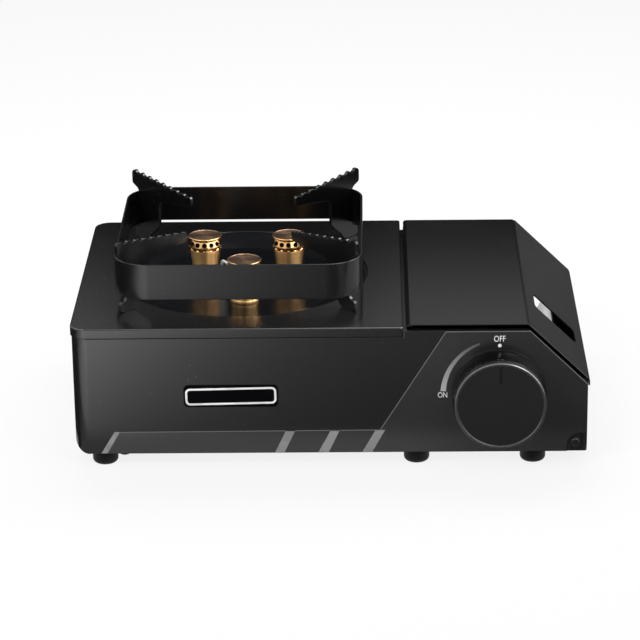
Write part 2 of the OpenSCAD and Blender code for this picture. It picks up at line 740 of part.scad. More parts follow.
module spindle() {
    place() color("#b08d46") union() {
        difference() {
            bar_y(knob_x, knob_z, spindle_r, spindle_front, plug_y0 + bite);
            block([knob_x - 5, spindle_front - 1, knob_z + spindle_r * 0.6], [knob_x + 5, knob_back - 2, knob_z + 5]);
        }
        difference() {
            bar_y(knob_x, knob_z, plug_r, plug_y0, plug_y1);
            translate([knob_x, plug_y0 + 5, knob_z]) rotate([0, 90, 0]) cylinder(r = 1, h = 10, center = true);
        }
    }
}

module spindle_seal() {
    ring = (plug_r - spindle_r) / 2;
    place() color("#111111") translate([knob_x, valve_y + ring + 0.2, knob_z]) rotate([-90, 0, 0])
        rotate_extrude() translate([spindle_r + ring, 0]) circle(r = ring - 0.02, $fn = 24);
}

// Snail cam: its radius grows evenly over the knob's turn
module ignition_cam() {
    rise = [for (i = [0:15]) let (a = 180 - knob_turn * i / 15)
        (cam_r + cam_rise * i / 15) * [cos(a), sin(a)]];
    back = [for (i = [0:20]) let (a = 174 - knob_turn - i * (360 - knob_turn - 12) / 20)
        cam_r * [cos(a), sin(a)]];
    place() color("#e4e1d6") difference() {
        translate([knob_x, cam_y0 + cam_t, knob_z]) rotate([90, 0, 0]) linear_extrude(cam_t)
            polygon(concat(rise, back));
        bar_y(knob_x, knob_z, spindle_r + 0.01, cam_y0 - 1, cam_y0 + cam_t + 1);
    }
}

module knob() {
    r0 = knob_d / 2;
    r1 = knob_base_d / 2;
    depth = knob_back - knob_front;
    rim = 1;
    grip_y = 3.6;
    place() color("#1b1b1d") translate([knob_x, knob_front, knob_z]) difference() {
        rotate([-90, 0, 0]) difference() {
            rotate_extrude($fn = 128) difference() {
                polygon([[0, 0.4], [r0 - rim - 0.6, 0.4], [r0 - rim, 0], [r0 - 0.4, 0.4], [r0, rim],
                    [r0, grip_y], [r1, depth], [0, depth]]);
                polygon([[spindle_r + 3.4, knob_wall + 0.8], [r0 - knob_wall, knob_wall + 0.8],
                    [r1 - knob_wall, depth + 1], [spindle_r + 3.4, depth + 1]]);
            }
            translate([0, 0, spindle_front - knob_front - 0.02]) cylinder(r = spindle_r + 0.01, h = depth);
        }
        // pointer groove
        block([-0.8, -1, r0 - 10.5], [0.8, 0.9, r0 - 2.2]);
    }
}

module piezo_body() {
    place() color("#e8e6df") difference() {
        union() {
            block([piezo_x0, piezo_y0, knob_z - piezo_h / 2], [piezo_x1, bracket_y, knob_z + piezo_h / 2]);
            bar_x(cam_y, knob_z, plunger_r + 1.4, piezo_x1 - 1, piezo_x1 + 0.4);
        }
        bar_x(cam_y, knob_z, plunger_r + 0.05, piezo_x1 - 9, piezo_x1 + 2);
    }
}

module piezo_plunger() {
    l = plunger_x - piezo_x1 + 9 - cam_rise - 1;
    place() color("#3d6fae") translate([plunger_x - l, cam_y, knob_z]) rotate([0, 90, 0]) rotate_extrude()
        polygon([[0, 0], [plunger_r, 0], [plunger_r, l - 0.8], [0.5, l + nose_r], [0, l + nose_r]]);
}

// High-voltage lead from the igniter to the electrode, clipped along the base plate
module ignition_wire() {
    n = len(lead_route);
    place() color("#8c1f1a") union() {
        for (i = [0:n - 2]) hull() {
            translate(lead_route[i]) sphere(r = lead_r, $fn = 12);
            translate(lead_route[i + 1]) sphere(r = lead_r, $fn = 12);
        }
    }
}

module electrode_ceramic() {
    place() color("#f2efe6") translate([spark_x, spark_y, ceramic_z0]) difference() {
        union() {
            cylinder(r = ceramic_r, h = ceramic_z1 - ceramic_z0);
            translate([0, 0, boss_top - ceramic_z0 - 2.4]) cylinder(r = ceramic_r + 1, h = 2.4);
        }
        translate([0, 0, ceramic_z1 - ceramic_z0 - 6]) cylinder(r = spark_wire, h = 7);
    }
}

module electrode_tip() {
    bend = 2;
    place() color("#c9ccce") translate([spark_x, spark_y, ceramic_z1 - 6]) rotate([0, 0, spark_az]) {
        cylinder(r = spark_wire, h = 7);
        translate([bend, 0, 7]) rotate([90, 0, 0]) rotate([0, 0, 90]) rotate_extrude(angle = 90)
            translate([bend, 0]) circle(r = spark_wire, $fn = 32);
        translate([bend, 0, 7 + bend]) rotate([0, 90, 0]) cylinder(r = spark_wire, h = 7.5);
    }
}

module electrode_clip() {
    place() color("#d9dbdd") translate([spark_x, spark_y, bowl_z]) difference() {
        union() {
            cylinder(r = ceramic_r + 1.6, h = 3.2);
            rotate([0, 0, 120]) block([-3, -3, 0], [9, 3, 0.8]);
        }
        translate([0, 0, -1]) cylinder(r = ceramic_r + 0.02, h = 6);
    }
}

module inlet_nozzle() {
    place() color("#b8934a") difference() {
        union() {
            bar_y(can_x, can_z, 4.8, holder_y, holder_y + holder_t);
            bar_y(can_x, can_z, 3.5, holder_y, holder_y + holder_t + seal_t);
            bar_y(can_x, can_z, 3, holder_y, tip_y);
            bar_y(can_x, can_z, 1.98, holder_y - 3, holder_y + bite);
        }
        bar_y(can_x, can_z, 0.9, holder_y - 5, tip_y + 1);
    }
}

module inlet_seal() {
    y0 = holder_y + holder_t;
    place() color("#101010") difference() {
        bar_y(can_x, can_z, 6, y0, y0 + seal_t);
        bar_y(can_x, can_z, 3.52, y0 - 1, y0 + seal_t + 1);
    }
}

module magnet_holder() {
    place() color("#9fa2a4") difference() {
        bar_y(can_x, can_z, holder_r, holder_y, holder_y + holder_t);
        bar_y(can_x, can_z, 4.82, holder_y - 1, holder_y + holder_t + 1);
    }
}

module inlet_magnets() {
    y0 = holder_y + holder_t;
    place() color("#c2c4c6") for (a = [90, 210, 330])
        bar_y(can_x + magnet_ring_r * cos(a), can_z + magnet_ring_r * sin(a), magnet_r, y0, y0 + magnet_t);
}

module gas_jet() {
    place() color("#c49a4a") difference() {
        union() {
            along_gas(3, -jet_len, -jet_len + 4 + bite);
            along_gas(3.8, -jet_len + 4, -3);
            along_gas(2.4, -3 - bite, 0, 1.2);
        }
        along_gas(0.6, -jet_len - 1, 1);
    }
}

module mixing_tube() {
    end = run_len - socket_reach + socket_depth;
    place() color("#a9adb0") difference() {
        union() {
            along_gas(bell_r, air_gap, air_gap + bell_len, tube_r);
            along_gas(tube_r, air_gap + bell_len - bite, end);
        }
        along_gas(bell_r - tube_t, air_gap - bite, air_gap + bell_len, tube_r - tube_t);
        along_gas(tube_r - tube_t, air_gap + bell_len - 0.1, end + 1);
    }
}

module manifold() {
    place() color("#9b9ea1") difference() {
        union() {
            translate([burner_x, burner_y, mani_z0]) cylinder(r = mani_hub_r, h = mani_z1 - mani_z0);
            for (a = head_angles) translate([burner_x, burner_y, 0]) rotate([0, 0, a])
                block([0, -7, mani_z0], [head_reach, 7, mani_z1]);
            at_heads() translate([0, 0, mani_z0]) cylinder(r = boss_r, h = boss_top - mani_z0);
            along_gas(tube_r + socket_wall + 0.1, run_len - socket_reach, run_len - 6);
            for (dy = mount_dy) translate([burner_x, burner_y + dy, strap_z])
                cylinder(r = 5, h = mani_z0 - strap_z + bite);
        }
        at_heads() translate([0, 0, mani_z0 + 3]) cylinder(r = neck_r + 0.01, h = 30);
        // mixing chamber in the hub, with a passage to each boss
        translate([burner_x, burner_y, mani_z0 + 1.2]) cylinder(r = 7, h = mani_z1 - mani_z0 - 2.4);
        for (a = head_angles) translate([burner_x, burner_y, mani_mid]) rotate([0, 0, a]) rotate([0, 90, 0])
            translate([0, 0, 5]) cylinder(r = 3, h = head_reach - 5);
        along_gas(tube_r + 0.02, run_len - socket_reach - 1, run_len - socket_reach + socket_depth);
        along_gas(3.2, run_len - socket_reach, run_len - 3);
        for (dy = mount_dy) translate([burner_x, burner_y + dy, strap_z - 1]) cylinder(r = screw_r + 0.02, h = 6.5);
    }
}

module burner_bracket() {
    x0 = burner_x - strap_w / 2;
    x1 = burner_x + strap_w / 2;
    y0 = burner_y - strap_front;
    y1 = burner_y + strap_rear;
    place() color("#a7aaac") difference() {
        union() {
            block([x0, y0, strap_z - strap_t], [x1, y1, strap_z]);
            block([x0, y0, base_z], [x1, y0 + strap_t, strap_z]);
            block([x0, y1 - strap_t, base_z], [x1, y1, strap_z]);
            block([x0, y0 - 10, base_z], [x1, y0 + strap_t, base_z + strap_t]);
            block([x0, y1 - strap_t, base_z], [x1, y1 + 10, base_z + strap_t]);
        }
        for (dy = mount_dy)
            translate([burner_x, burner_y + dy, strap_z - 3]) cylinder(r = screw_r + hole_play, h = 5);
        for (dy = [-strap_front - 5, strap_rear + 5])
            translate([burner_x, burner_y + dy, 0]) cylinder(r = screw_r + hole_play, h = 5);
    }
}

module manifold_screws() {
    place() color("#c9ccce") {
        for (dy = mount_dy) screw_up(burner_x, burner_y + dy, strap_z - strap_t, 6);
        for (dy = [-strap_front - 5, strap_rear + 5]) screw_down(burner_x, burner_y + dy, base_z + strap_t, 2.6);
    }
}

module burner_stems() {
    place() color("#c08a4a") at_heads() difference() {
        union() {
            translate([0, 0, bowl_z]) cylinder(r = flange_r, h = flange_t);
            translate([0, 0, bowl_z]) cylinder(r = stem_r, h = cap_z - bowl_z);
            translate([0, 0, cap_z - stem_flare]) cylinder(r1 = stem_r, r2 = stem_top_r, h = stem_flare);
            translate([0, 0, mani_z1 - 2]) cylinder(r = neck_r, h = bowl_z - mani_z1 + 2 + bite);
        }
        translate([0, 0, mani_z1 - 3]) cylinder(r = stem_bore_r, h = cap_z);
        translate([0, 0, cap_z - spigot_h - 0.5]) cylinder(r = socket_r, h = 10);
    }
}

module burner_caps() {
    r = head_d / 2;
    place() color("#c98f4e") at_heads() translate([0, 0, cap_z]) difference() {
        rotate_extrude() difference() {
            polygon([[0, -spigot_h], [socket_r - 0.05, -spigot_h], [socket_r - 0.05, 0], [r - 1.9, 0], [r - 1.5, 0.4],
                [r - 1.5, 1.1], [r - 1.9, 1.5], [r - 0.8, 1.9], [r + 0.2, 3], [r + 0.2, 5.2],
                [r - 0.7, 6.6], [r - 0.7, 6.9], [r, 6.9], [r, cap_h - 0.2], [r - 0.2, cap_h], [0, cap_h]]);
            polygon([[0, -spigot_h - 1], [socket_r - 1.2, -spigot_h - 1], [socket_r - 1.2, 0.8], [r - 2.4, 2.9],
                [r - 2.4, 5.3], [r - 3.2, 6], [0, 6]]);
        }
        for (i = [0:port_count - 1]) rotate([0, 0, (i + 0.5) * 360 / port_count])
            translate([r - 4, 0, port_z - cap_z]) rotate([0, 90, 0]) cylinder(r = port_r, h = 6, $fn = 24);
    }
}

module support_ring() {
    h = ring_w / 2;
    place() color("#232427") difference() {
        upright(deck_h + ring_lift, deck_h + ring_top)
            round_rect(bowl_x - h, bowl_y - h, bowl_x + h, bowl_y + h, ring_r, ring_r);
        upright(deck_h, deck_h + ring_top + 1)
            round_rect(bowl_x - h + band_t, bowl_y - h + band_t, bowl_x + h - band_t, bowl_y + h - band_t,
                ring_r - band_t, ring_r - band_t);
    }
}

// Outline of one arm: distance from the middle against height above the plate
module arm_profile() {
    slope = (arm_outer_h - arm_inner_h) / (arm_outer_s - arm_inner_s);
    pitch = (arm_outer_s - arm_inner_s - 4) / tooth_count;
    so = arm_stem_out;
    difference() {
        polygon([
            // top edge, from the inner tip out
            [arm_inner_s, arm_inner_h - 1.2], [arm_inner_s + 1, arm_inner_h - 0.2],
            [arm_outer_s - 2.2, arm_outer_h - 0.2], [arm_outer_s - 0.6, arm_outer_h - 0.8],
            [arm_outer_s, arm_outer_h - 2.2],
            // outer tip and its underside
            [arm_outer_s, arm_outer_h - 7.4], [arm_outer_s - 0.6, arm_outer_h - 8.6],
            [so + 1.6, ring_top + 1.9], [so + 0.3, ring_top + 0.4], [so, ring_top - 0.8],
            // stem, then the foot below the band
            [so, ring_lift - 0.9], [so + 1.2, ring_lift - 2.2], [so + 3.6, ring_lift - 2.9],
            [so + 4.4, ring_lift - 4], [so + 4.4, 1.6], [so + 3.4, 0.4], [so + 2, 0.05],
            [so - 5, 0.05], [so - 7, 0.9], [so - 8, 2.4], [so - 9.4, ring_lift - 4.4],
            [arm_stem_in + 3, ring_lift - 0.6], [arm_stem_in, ring_lift + 2.4],
            // underside of the inner arm
            [arm_stem_in, ring_top - 5.6], [arm_stem_in - 1, ring_top - 3.4], [arm_stem_in - 3.6, ring_top - 2],
            [arm_inner_s + 1.4, arm_inner_h - 6.2], [arm_inner_s, arm_inner_h - 5.2]]);
        for (i = [0:tooth_count - 1]) {
            s = arm_inner_s + 4 + i * pitch;
            translate([s, arm_inner_h + slope * (s - arm_inner_s) + tooth_r - tooth_bite]) circle(r = tooth_r, $fn = 32);
        }
    }
}

module support_arms() {
    place() color("#232427") for (a = [45:90:315]) translate([bowl_x, bowl_y, deck_h]) rotate([0, 0, a])
        rotate([90, 0, 0]) linear_extrude(arm_t, center = true) arm_profile();
}

module rubber_feet() {
    r = foot_d / 2;
    soft = 2.5;
    place() color("#17181a") for (x = foot_x, y = foot_y) translate([x, y, -foot_h]) rotate_extrude()
        difference() {
            union() {
                translate([r - soft, soft]) circle(r = soft, $fn = 48);
                polygon([[0, 0], [r - soft, 0], [r - soft, soft], [r, soft], [r, foot_h], [0, foot_h]]);
            }
            polygon([[0, -1], [foot_bore_r, -1], [foot_bore_r, foot_seat], [screw_r + hole_play, foot_seat],
                [screw_r + hole_play, foot_h + 1], [0, foot_h + 1]]);
        }
}

module foot_screws() {
    place() color("#c9ccce") for (x = foot_x, y = foot_y)
        screw_up(x, y, foot_seat - foot_h, foot_h - foot_seat + base_z + 2);
}

module base_screws() {
    place() color("#2a2a2c") for (p = base_screw_pos) screw_up(p.x, p.y, 0, base_z + 2.5);
}

module corner_screw() {
    place() color("#3a3b3d") {
        bar_y(corner_x, corner_z, head_r - 0.25, tab_y - 1.3, tab_y);
        bar_y(corner_x, corner_z, screw_r, tab_y - bite, tab_y + 6);
    }
}

module plate_screws() {
    place() color("#c9ccce") for (p = stud_pos) screw_up(p.x, p.y, rim_z - sheet_t, 4);
}

module bracket_screws() {
    place() color("#c9ccce") for (dx = bracket_screw_dx)
        screw_down(knob_x + dx, valve_y + 8, base_z + bracket_t, 2.6);
}

module regulator_screws() {
    place() color("#c9ccce") for (dz = [-9, 9]) {
        bar_y(knob_x - 4, knob_z + dz, head_r, bracket_y - head_h, bracket_y);
        bar_y(knob_x - 4, knob_z + dz, screw_r, bracket_y - bite, valve_y + 6);
    }
}

body_shell();
base_plate();
burner_plate();
drip_bowl();
badge_plate();
divider_panel();
hinge_brackets();
hinge_rod();
lid();
lid_bumpers();
canister_cradle();
regulator_bracket();
regulator_body();
regulator_cover();
diaphragm();
regulator_spring();
spindle();
spindle_seal();
ignition_cam();
knob();
piezo_body();
piezo_plunger();
ignition_wire();
electrode_ceramic();
electrode_tip();
electrode_clip();
inlet_nozzle();
inlet_seal();
magnet_holder();
inlet_magnets();
gas_jet();
mixing_tube();
manifold();
burner_bracket();
burner_stems();
burner_caps();
support_ring();
support_arms();
rubber_feet();
foot_screws();
base_screws();
corner_screw();
plate_screws();
manifold_screws();
bracket_screws();
regulator_screws();
cover_screws();
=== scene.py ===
import json
from math import atan2, cos, pi, radians, sin

import bmesh
import bpy
from mathutils import Matrix, Vector


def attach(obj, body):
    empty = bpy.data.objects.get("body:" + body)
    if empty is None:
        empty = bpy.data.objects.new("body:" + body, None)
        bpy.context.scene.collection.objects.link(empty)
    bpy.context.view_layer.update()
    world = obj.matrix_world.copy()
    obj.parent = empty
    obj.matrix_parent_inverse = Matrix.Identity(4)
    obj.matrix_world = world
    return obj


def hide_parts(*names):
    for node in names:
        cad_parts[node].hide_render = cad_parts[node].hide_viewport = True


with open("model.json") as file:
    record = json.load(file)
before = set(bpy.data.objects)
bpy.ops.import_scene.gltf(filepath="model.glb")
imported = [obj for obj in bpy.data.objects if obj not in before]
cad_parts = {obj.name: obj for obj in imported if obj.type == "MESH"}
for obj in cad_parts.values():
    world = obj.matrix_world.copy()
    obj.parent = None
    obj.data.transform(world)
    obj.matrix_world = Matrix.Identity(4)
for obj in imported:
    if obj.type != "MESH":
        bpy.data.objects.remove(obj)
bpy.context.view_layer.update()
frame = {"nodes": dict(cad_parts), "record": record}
nodes = frame["nodes"]

# Pieces are drawn in millimetres from the case's front left corner, with x to the right, y to
# the rear and z up. Shaders, cards, lights and the camera use metres in the shared frame.
CORNER = Vector((-140.0, -80.9, 7.5))
METRES = (0.001, 0.001, 0.001)
MILLIMETRES = (1000.0, 1000.0, 1000.0)

CASE_FRONT = 0.6
DECK = 72.7
SKIRT_FOOT = 67.3
LID_CREASE = 246.7
LID_TIP = 279.9
LID_ENDS = (4.0, 178.0)
SILL = 0.35
KNOB = Vector((231.0, -16.2, 33.4))
BOWL = Vector((90.0, 89.0, 66.5))
BOWL_FLOOR_R = 55.0
ELECTRODE = Vector((79.0, 80.0, 0.0))
HEADS_X, HEADS_Y, HEADS_R, HEAD_SEAT = 92.3, 89.0, 27.366, 82.5
HEADS = [Vector((HEADS_X + HEADS_R * cos(radians(a)), HEADS_Y + HEADS_R * sin(radians(a)),
                 HEAD_SEAT)) for a in (30, 150, 270)]


# ---------------------------------------------------------------- shader helpers

class Net:
    """Places and joins the nodes of one tree."""

    def __init__(self, tree):
        self.tree = tree

    def add(self, kind, **settings):
        node = self.tree.nodes.new(kind)
        for key, value in settings.items():
            setattr(node, key, value)
        return node

    def feed(self, socket, value):
        if isinstance(value, bpy.types.NodeSocket):
            self.tree.links.new(value, socket)
        else:
            socket.default_value = value

    def noise(self, place, scale, detail=2.0, rough=0.5, stretch=None):
        if stretch:
            turn = self.add("ShaderNodeMapping")
            turn.inputs["Scale"].default_value = stretch
            self.feed(turn.inputs["Vector"], place)
            place = turn.outputs["Vector"]
        node = self.add("ShaderNodeTexNoise")
        self.feed(node.inputs["Vector"], place)
        self.feed(node.inputs["Scale"], scale)
        node.inputs["Detail"].default_value = detail
        node.inputs["Roughness"].default_value = rough
        return node.outputs["Fac"]

    def cells(self, place, scale):
        node = self.add("ShaderNodeTexVoronoi", feature="F1")
        self.feed(node.inputs["Vector"], place)
        node.inputs["Scale"].default_value = scale
        return node.outputs

    def axes(self, vector):
        node = self.add("ShaderNodeSeparateXYZ")
        self.feed(node.inputs[0], vector)
        return node.outputs

    def maths(self, operation, a, b=0.0, clamp=False):
        node = self.add("ShaderNodeMath", operation=operation, use_clamp=clamp)
        self.feed(node.inputs[0], a)
        self.feed(node.inputs[1], b)
        return node.outputs[0]

    def span(self, value, lo, hi, out_lo, out_hi):
        node = self.add("ShaderNodeMapRange")
        for socket, v in zip(node.inputs, (value, lo, hi, out_lo, out_hi)):
            self.feed(socket, v)
        return node.outputs[0]

    def sway(self, value, out_lo, out_hi):
        """Spreads a noise, which stays mostly within 0.3 to 0.7, over a range."""
        return self.span(value, 0.3, 0.7, out_lo, out_hi)

    def blend(self, share, a, b):
        node = self.add("ShaderNodeMix", data_type="RGBA")
        self.feed(node.inputs[0], share)
        self.feed(node.inputs[6], a)
        self.feed(node.inputs[7], b)
        return node.outputs[2]

    def bump(self, height, strength, distance):
        node = self.add("ShaderNodeBump")
        node.inputs["Strength"].default_value = strength
        node.inputs["Distance"].default_value = distance
        self.feed(node.inputs["Height"], height)
        return node.outputs["Normal"]

    def use(self, group, **values):
        node = self.add("ShaderNodeGroup", node_tree=group)
        for key, value in values.items():
            self.feed(node.inputs[key], value)
        return node.outputs


def group_of(name, inputs, outputs):
    """A node group with (label, kind, default) inputs and plain number outputs."""
    tree = bpy.data.node_groups.new(name, "ShaderNodeTree")
    for label, kind, value in inputs:
        socket = tree.interface.new_socket(label, in_out="INPUT",
                                           socket_type="NodeSocket" + kind)
        if value is not None:
            socket.default_value = value
    for label in outputs:
        tree.interface.new_socket(label, in_out="OUTPUT", socket_type="NodeSocketFloat")
    net = Net(tree)
    return tree, net, net.add("NodeGroupInput").outputs, net.add("NodeGroupOutput").inputs


def sprayed_skin():
    """Orange peel, handling smudges and settled dust of a sprayed coat."""
    tree, net, given, out = group_of(
        "sprayed_skin",
        [("Place", "Vector", None), ("Peel", "Float", 900.0), ("Dust", "Float", 0.5)],
        ["Height", "Smudge", "Specks"])
    broad = net.noise(given["Place"], given["Peel"], detail=1.5)
    fine = net.noise(given["Place"], 5200.0, detail=1.0)
    net.feed(out["Height"], net.maths("ADD", broad, net.maths("MULTIPLY", fine, 0.35)))
    cloud = net.noise(given["Place"], 14.0, detail=4.0, rough=0.6)
    rub = net.noise(given["Place"], 46.0, detail=3.0, rough=0.55, stretch=(0.35, 1.0, 1.0))
    smudge = net.maths("ADD", net.maths("MULTIPLY", cloud, 0.6), net.maths("MULTIPLY", rub, 0.4))
    net.feed(out["Smudge"], smudge)
    near = net.span(net.cells(given["Place"], 420.0)["Distance"], 0.05, 0.13, 1.0, 0.0)
    rare = net.span(net.noise(given["Place"], 130.0), 0.6, 0.66, 0.0, given["Dust"])
    net.feed(out["Specks"], net.maths("MULTIPLY", near, rare))
    return tree


def turned_rings():
    """Tool marks round a lathe-turned face; its turning map holds radius and height."""
    tree, net, given, out = group_of(
        "turned_rings",
        [("Turning", "Vector", None), ("Place", "Vector", None), ("Pitch", "Float", 60.0)],
        ["Height", "Tint"])
    radius, height, _ = net.axes(given["Turning"])
    line = net.add("ShaderNodeCombineXYZ")
    net.feed(line.inputs[0], net.maths("ADD", radius, height))
    wander = net.noise(given["Place"], 260.0)
    net.feed(line.inputs[1], net.maths("MULTIPLY", wander, 0.006))
    marks = net.noise(line.outputs[0], given["Pitch"], detail=5.0, rough=0.75)
    net.feed(out["Height"], marks)
    blotch = net.noise(given["Place"], 170.0, detail=3.0)
    net.feed(out["Tint"], net.maths("MULTIPLY", marks, blotch))
    return tree


def rolled_sheet():
    """Mill streaks and the soft spangle of plated sheet."""
    tree, net, given, out = group_of(
        "rolled_sheet",
        [("Place", "Vector", None), ("Lines", "Float", 900.0)],
        ["Height", "Spangle"])
    streaks = net.noise(given["Place"], given["Lines"], detail=4.0, rough=0.6,
                        stretch=(1.0, 0.03, 1.0))
    net.feed(out["Height"], streaks)
    grey = net.add("ShaderNodeRGBToBW")
    net.feed(grey.inputs[0], net.cells(given["Place"], 150.0)["Color"])
    cloud = net.noise(given["Place"], 60.0, detail=3.0)
    net.feed(out["Spangle"], net.maths("MULTIPLY", grey.outputs[0], cloud))
    return tree


def moulded_grain():
    """Fine spark-eroded texture and flow marks of a moulding or a casting."""
    tree, net, given, out = group_of(
        "moulded_grain",
        [("Place", "Vector", None), ("Grain", "Float", 2600.0)],
        ["Height", "Flow"])
    net.feed(out["Height"], net.noise(given["Place"], given["Grain"], detail=3.0, rough=0.7))
    net.feed(out["Flow"], net.noise(given["Place"], 55.0, detail=4.0, rough=0.6))
    return tree


SKIN = sprayed_skin()
RINGS = turned_rings()
SHEET = rolled_sheet()
GRAIN = moulded_grain()

# How far a finish's relief stands up, in metres
PEEL_RISE = 0.00006
GRAIN_RISE = 0.00005
TOOL_RISE = 0.00004
STREAK_RISE = 0.00003


def blank_finish(name, metallic=0.0, specular=0.5, ior=1.5):
    """A material with its constants set, its net, its Principled sockets and Object place."""
    mat = bpy.data.materials.new(name)
    mat.use_nodes = True
    net = Net(mat.node_tree)
    shader = mat.node_tree.nodes["Principled BSDF"]
    shader.inputs["Metallic"].default_value = metallic
    shader.inputs["Specular IOR Level"].default_value = specular
    shader.inputs["IOR"].default_value = ior
    place = net.add("ShaderNodeTexCoord").outputs["Object"]
    return mat, net, shader.inputs, place


def rgb(r, g, b):
    return (r, g, b, 1.0)


def sprayed(name, colour, rough, specular=0.5, peel=900.0, dust=0.5, spread=0.07, depth=0.12,
            ior=1.5):
    """Stoving enamel, ink or film in its several glosses."""
    mat, net, put, place = blank_finish(name, specular=specular, ior=ior)
    skin = net.use(SKIN, Place=place, Peel=peel, Dust=dust)
    rubbed = rgb(*[c * 1.5 + 0.0006 for c in colour])
    settled = rgb(0.22, 0.21, 0.2)
    tone = net.blend(skin["Smudge"], rgb(*colour), rubbed)
    net.feed(put["Base Color"], net.blend(skin["Specks"], tone, settled))
    gloss = net.sway(skin["Smudge"], rough - spread, rough + spread)
    matt = net.maths("MULTIPLY", skin["Specks"], 0.3)
    net.feed(put["Roughness"], net.maths("ADD", gloss, matt, clamp=True))
    net.feed(put["Normal"], net.bump(skin["Height"], depth, PEEL_RISE))
    return mat


def plated(name, colour, rough, lines=900.0, depth=0.15, metallic=1.0):
    """Plated, rolled or foiled metal with fine streaks along it."""
    mat, net, put, place = blank_finish(name, metallic=metallic)
    sheet = net.use(SHEET, Place=place, Lines=lines)
    dull = rgb(*[c * 0.8 for c in colour])
    shine = net.span(sheet["Spangle"], 0.1, 0.4, 0.0, 1.0)
    net.feed(put["Base Color"], net.blend(shine, dull, rgb(*colour)))
    net.feed(put["Roughness"], net.sway(sheet["Height"], rough - 0.08, rough + 0.1))
    net.feed(put["Normal"], net.bump(sheet["Height"], depth, STREAK_RISE))
    return mat


def turned(name, colour, dark, rough, pitch=90.0, marks=0.35, stretch=0.0):
    """Brass off the lathe, dulled a little by heat; reads the piece's turning and lay maps."""
    mat, net, put, place = blank_finish(name, metallic=1.0)
    turning = net.add("ShaderNodeUVMap", uv_map="turning").outputs[0]
    lay = net.add("ShaderNodeTangent", direction_type="UV_MAP", uv_map="lay").outputs[0]
    put["Anisotropic"].default_value = stretch
    net.feed(put["Tangent"], lay)
    rings = net.use(RINGS, Turning=turning, Place=place, Pitch=pitch)
    tint = net.span(rings["Tint"], 0.12, 0.42, 0.0, 1.0)
    cloud = net.noise(place, 120.0, detail=4.0, rough=0.6)
    stain = net.span(cloud, 0.35, 0.7, 0.0, 0.5)
    scorched = rgb(colour[0] * 0.8, colour[1] * 0.62, colour[2] * 0.5)
    tone = net.blend(tint, rgb(*dark), rgb(*colour))
    net.feed(put["Base Color"], net.blend(stain, tone, scorched))
    net.feed(put["Roughness"], net.sway(rings["Height"], rough - 0.06, rough + 0.1))
    net.feed(put["Normal"], net.bump(rings["Height"], marks, TOOL_RISE))
    return mat


def moulded(name, colour, rough, grain=2600.0, depth=0.2, specular=0.5, metallic=0.0,
            spread=0.06, shade=0.82, ior=1.5):
    """Plastic, rubber, glaze and castings; shade is the darker tone's share of the colour."""
    mat, net, put, place = blank_finish(name, metallic=metallic, specular=specular, ior=ior)
    grained = net.use(GRAIN, Place=place, Grain=grain)
    low = rgb(*[c * shade for c in colour])
    net.feed(put["Base Color"], net.blend(net.sway(grained["Flow"], 0.0, 1.0), low, rgb(*colour)))
    gloss = net.sway(grained["Flow"], rough + spread, rough - spread)
    ripple = net.sway(grained["Height"], -0.04, 0.04)
    net.feed(put["Roughness"], net.maths("ADD", gloss, ripple, clamp=True))
    net.feed(put["Normal"], net.bump(grained["Height"], depth, GRAIN_RISE))
    return mat


LATHE_BRASS, LATHE_SHADE = (0.93, 0.61, 0.27), (0.72, 0.42, 0.17)
SUPPORT_BLACK = (0.0028, 0.0028, 0.0032)

# One finish for each material slot of the record
finishes = {
    "case_enamel": sprayed("case_enamel", (0.0042, 0.0042, 0.0046), 0.2, specular=1.0,
                           spread=0.03, depth=0.07),
    "bowl_enamel": sprayed("bowl_enamel", (0.004, 0.0044, 0.0056), 0.21, specular=0.22,
                           peel=700.0, dust=0.3, spread=0.03, depth=0.06),
    "support_enamel": sprayed("support_enamel", SUPPORT_BLACK, 0.18, specular=0.6,
                              peel=1100.0, dust=0.35, spread=0.03, depth=0.08),
    "badge_plate": sprayed("badge_black", (0.0016, 0.0016, 0.0024), 0.34, specular=0.1,
                           peel=1300.0, dust=0.1, spread=0.02, depth=0.05, ior=1.2),
    "zinc_sheet": plated("zinc_sheet", (0.62, 0.64, 0.66), 0.34),
    "bright_screw": plated("bright_screw", (0.66, 0.66, 0.67), 0.26, lines=2200.0, depth=0.1),
    "black_screw": sprayed("black_screw", (0.022, 0.022, 0.024), 0.38, peel=1800.0, dust=0.4),
    "die_cast": moulded("die_cast", (0.55, 0.56, 0.58), 0.42, grain=1500.0, depth=0.4,
                        metallic=1.0, shade=0.75),
    "brass": moulded("brass_inner", (0.72, 0.5, 0.24), 0.3, grain=1900.0, depth=0.12,
                     metallic=1.0, shade=0.75),
    "knob_plastic": moulded("knob_plastic", (0.012, 0.012, 0.0135), 0.36, grain=3200.0,
                            depth=0.1, specular=0.4),
    "cam_plastic": moulded("cam_plastic", (0.75, 0.73, 0.66), 0.45),
    "igniter_plastic": moulded("igniter_plastic", (0.78, 0.77, 0.73), 0.4),
    "plunger_plastic": moulded("plunger_plastic", (0.08, 0.17, 0.4), 0.38),
    "ceramic": moulded("ceramic", (0.86, 0.85, 0.8), 0.22, grain=2000.0, depth=0.06),
    "magnet": plated("magnet", (0.7, 0.7, 0.69), 0.2, lines=1800.0, depth=0.06),
    "rubber_black": moulded("rubber_black", (0.0038, 0.0038, 0.005), 0.5, grain=2400.0,
                            depth=0.3, specular=0.2),
    "lead_insulation": moulded("lead_insulation", (0.36, 0.02, 0.015), 0.42, grain=1400.0,
                               depth=0.1),
}

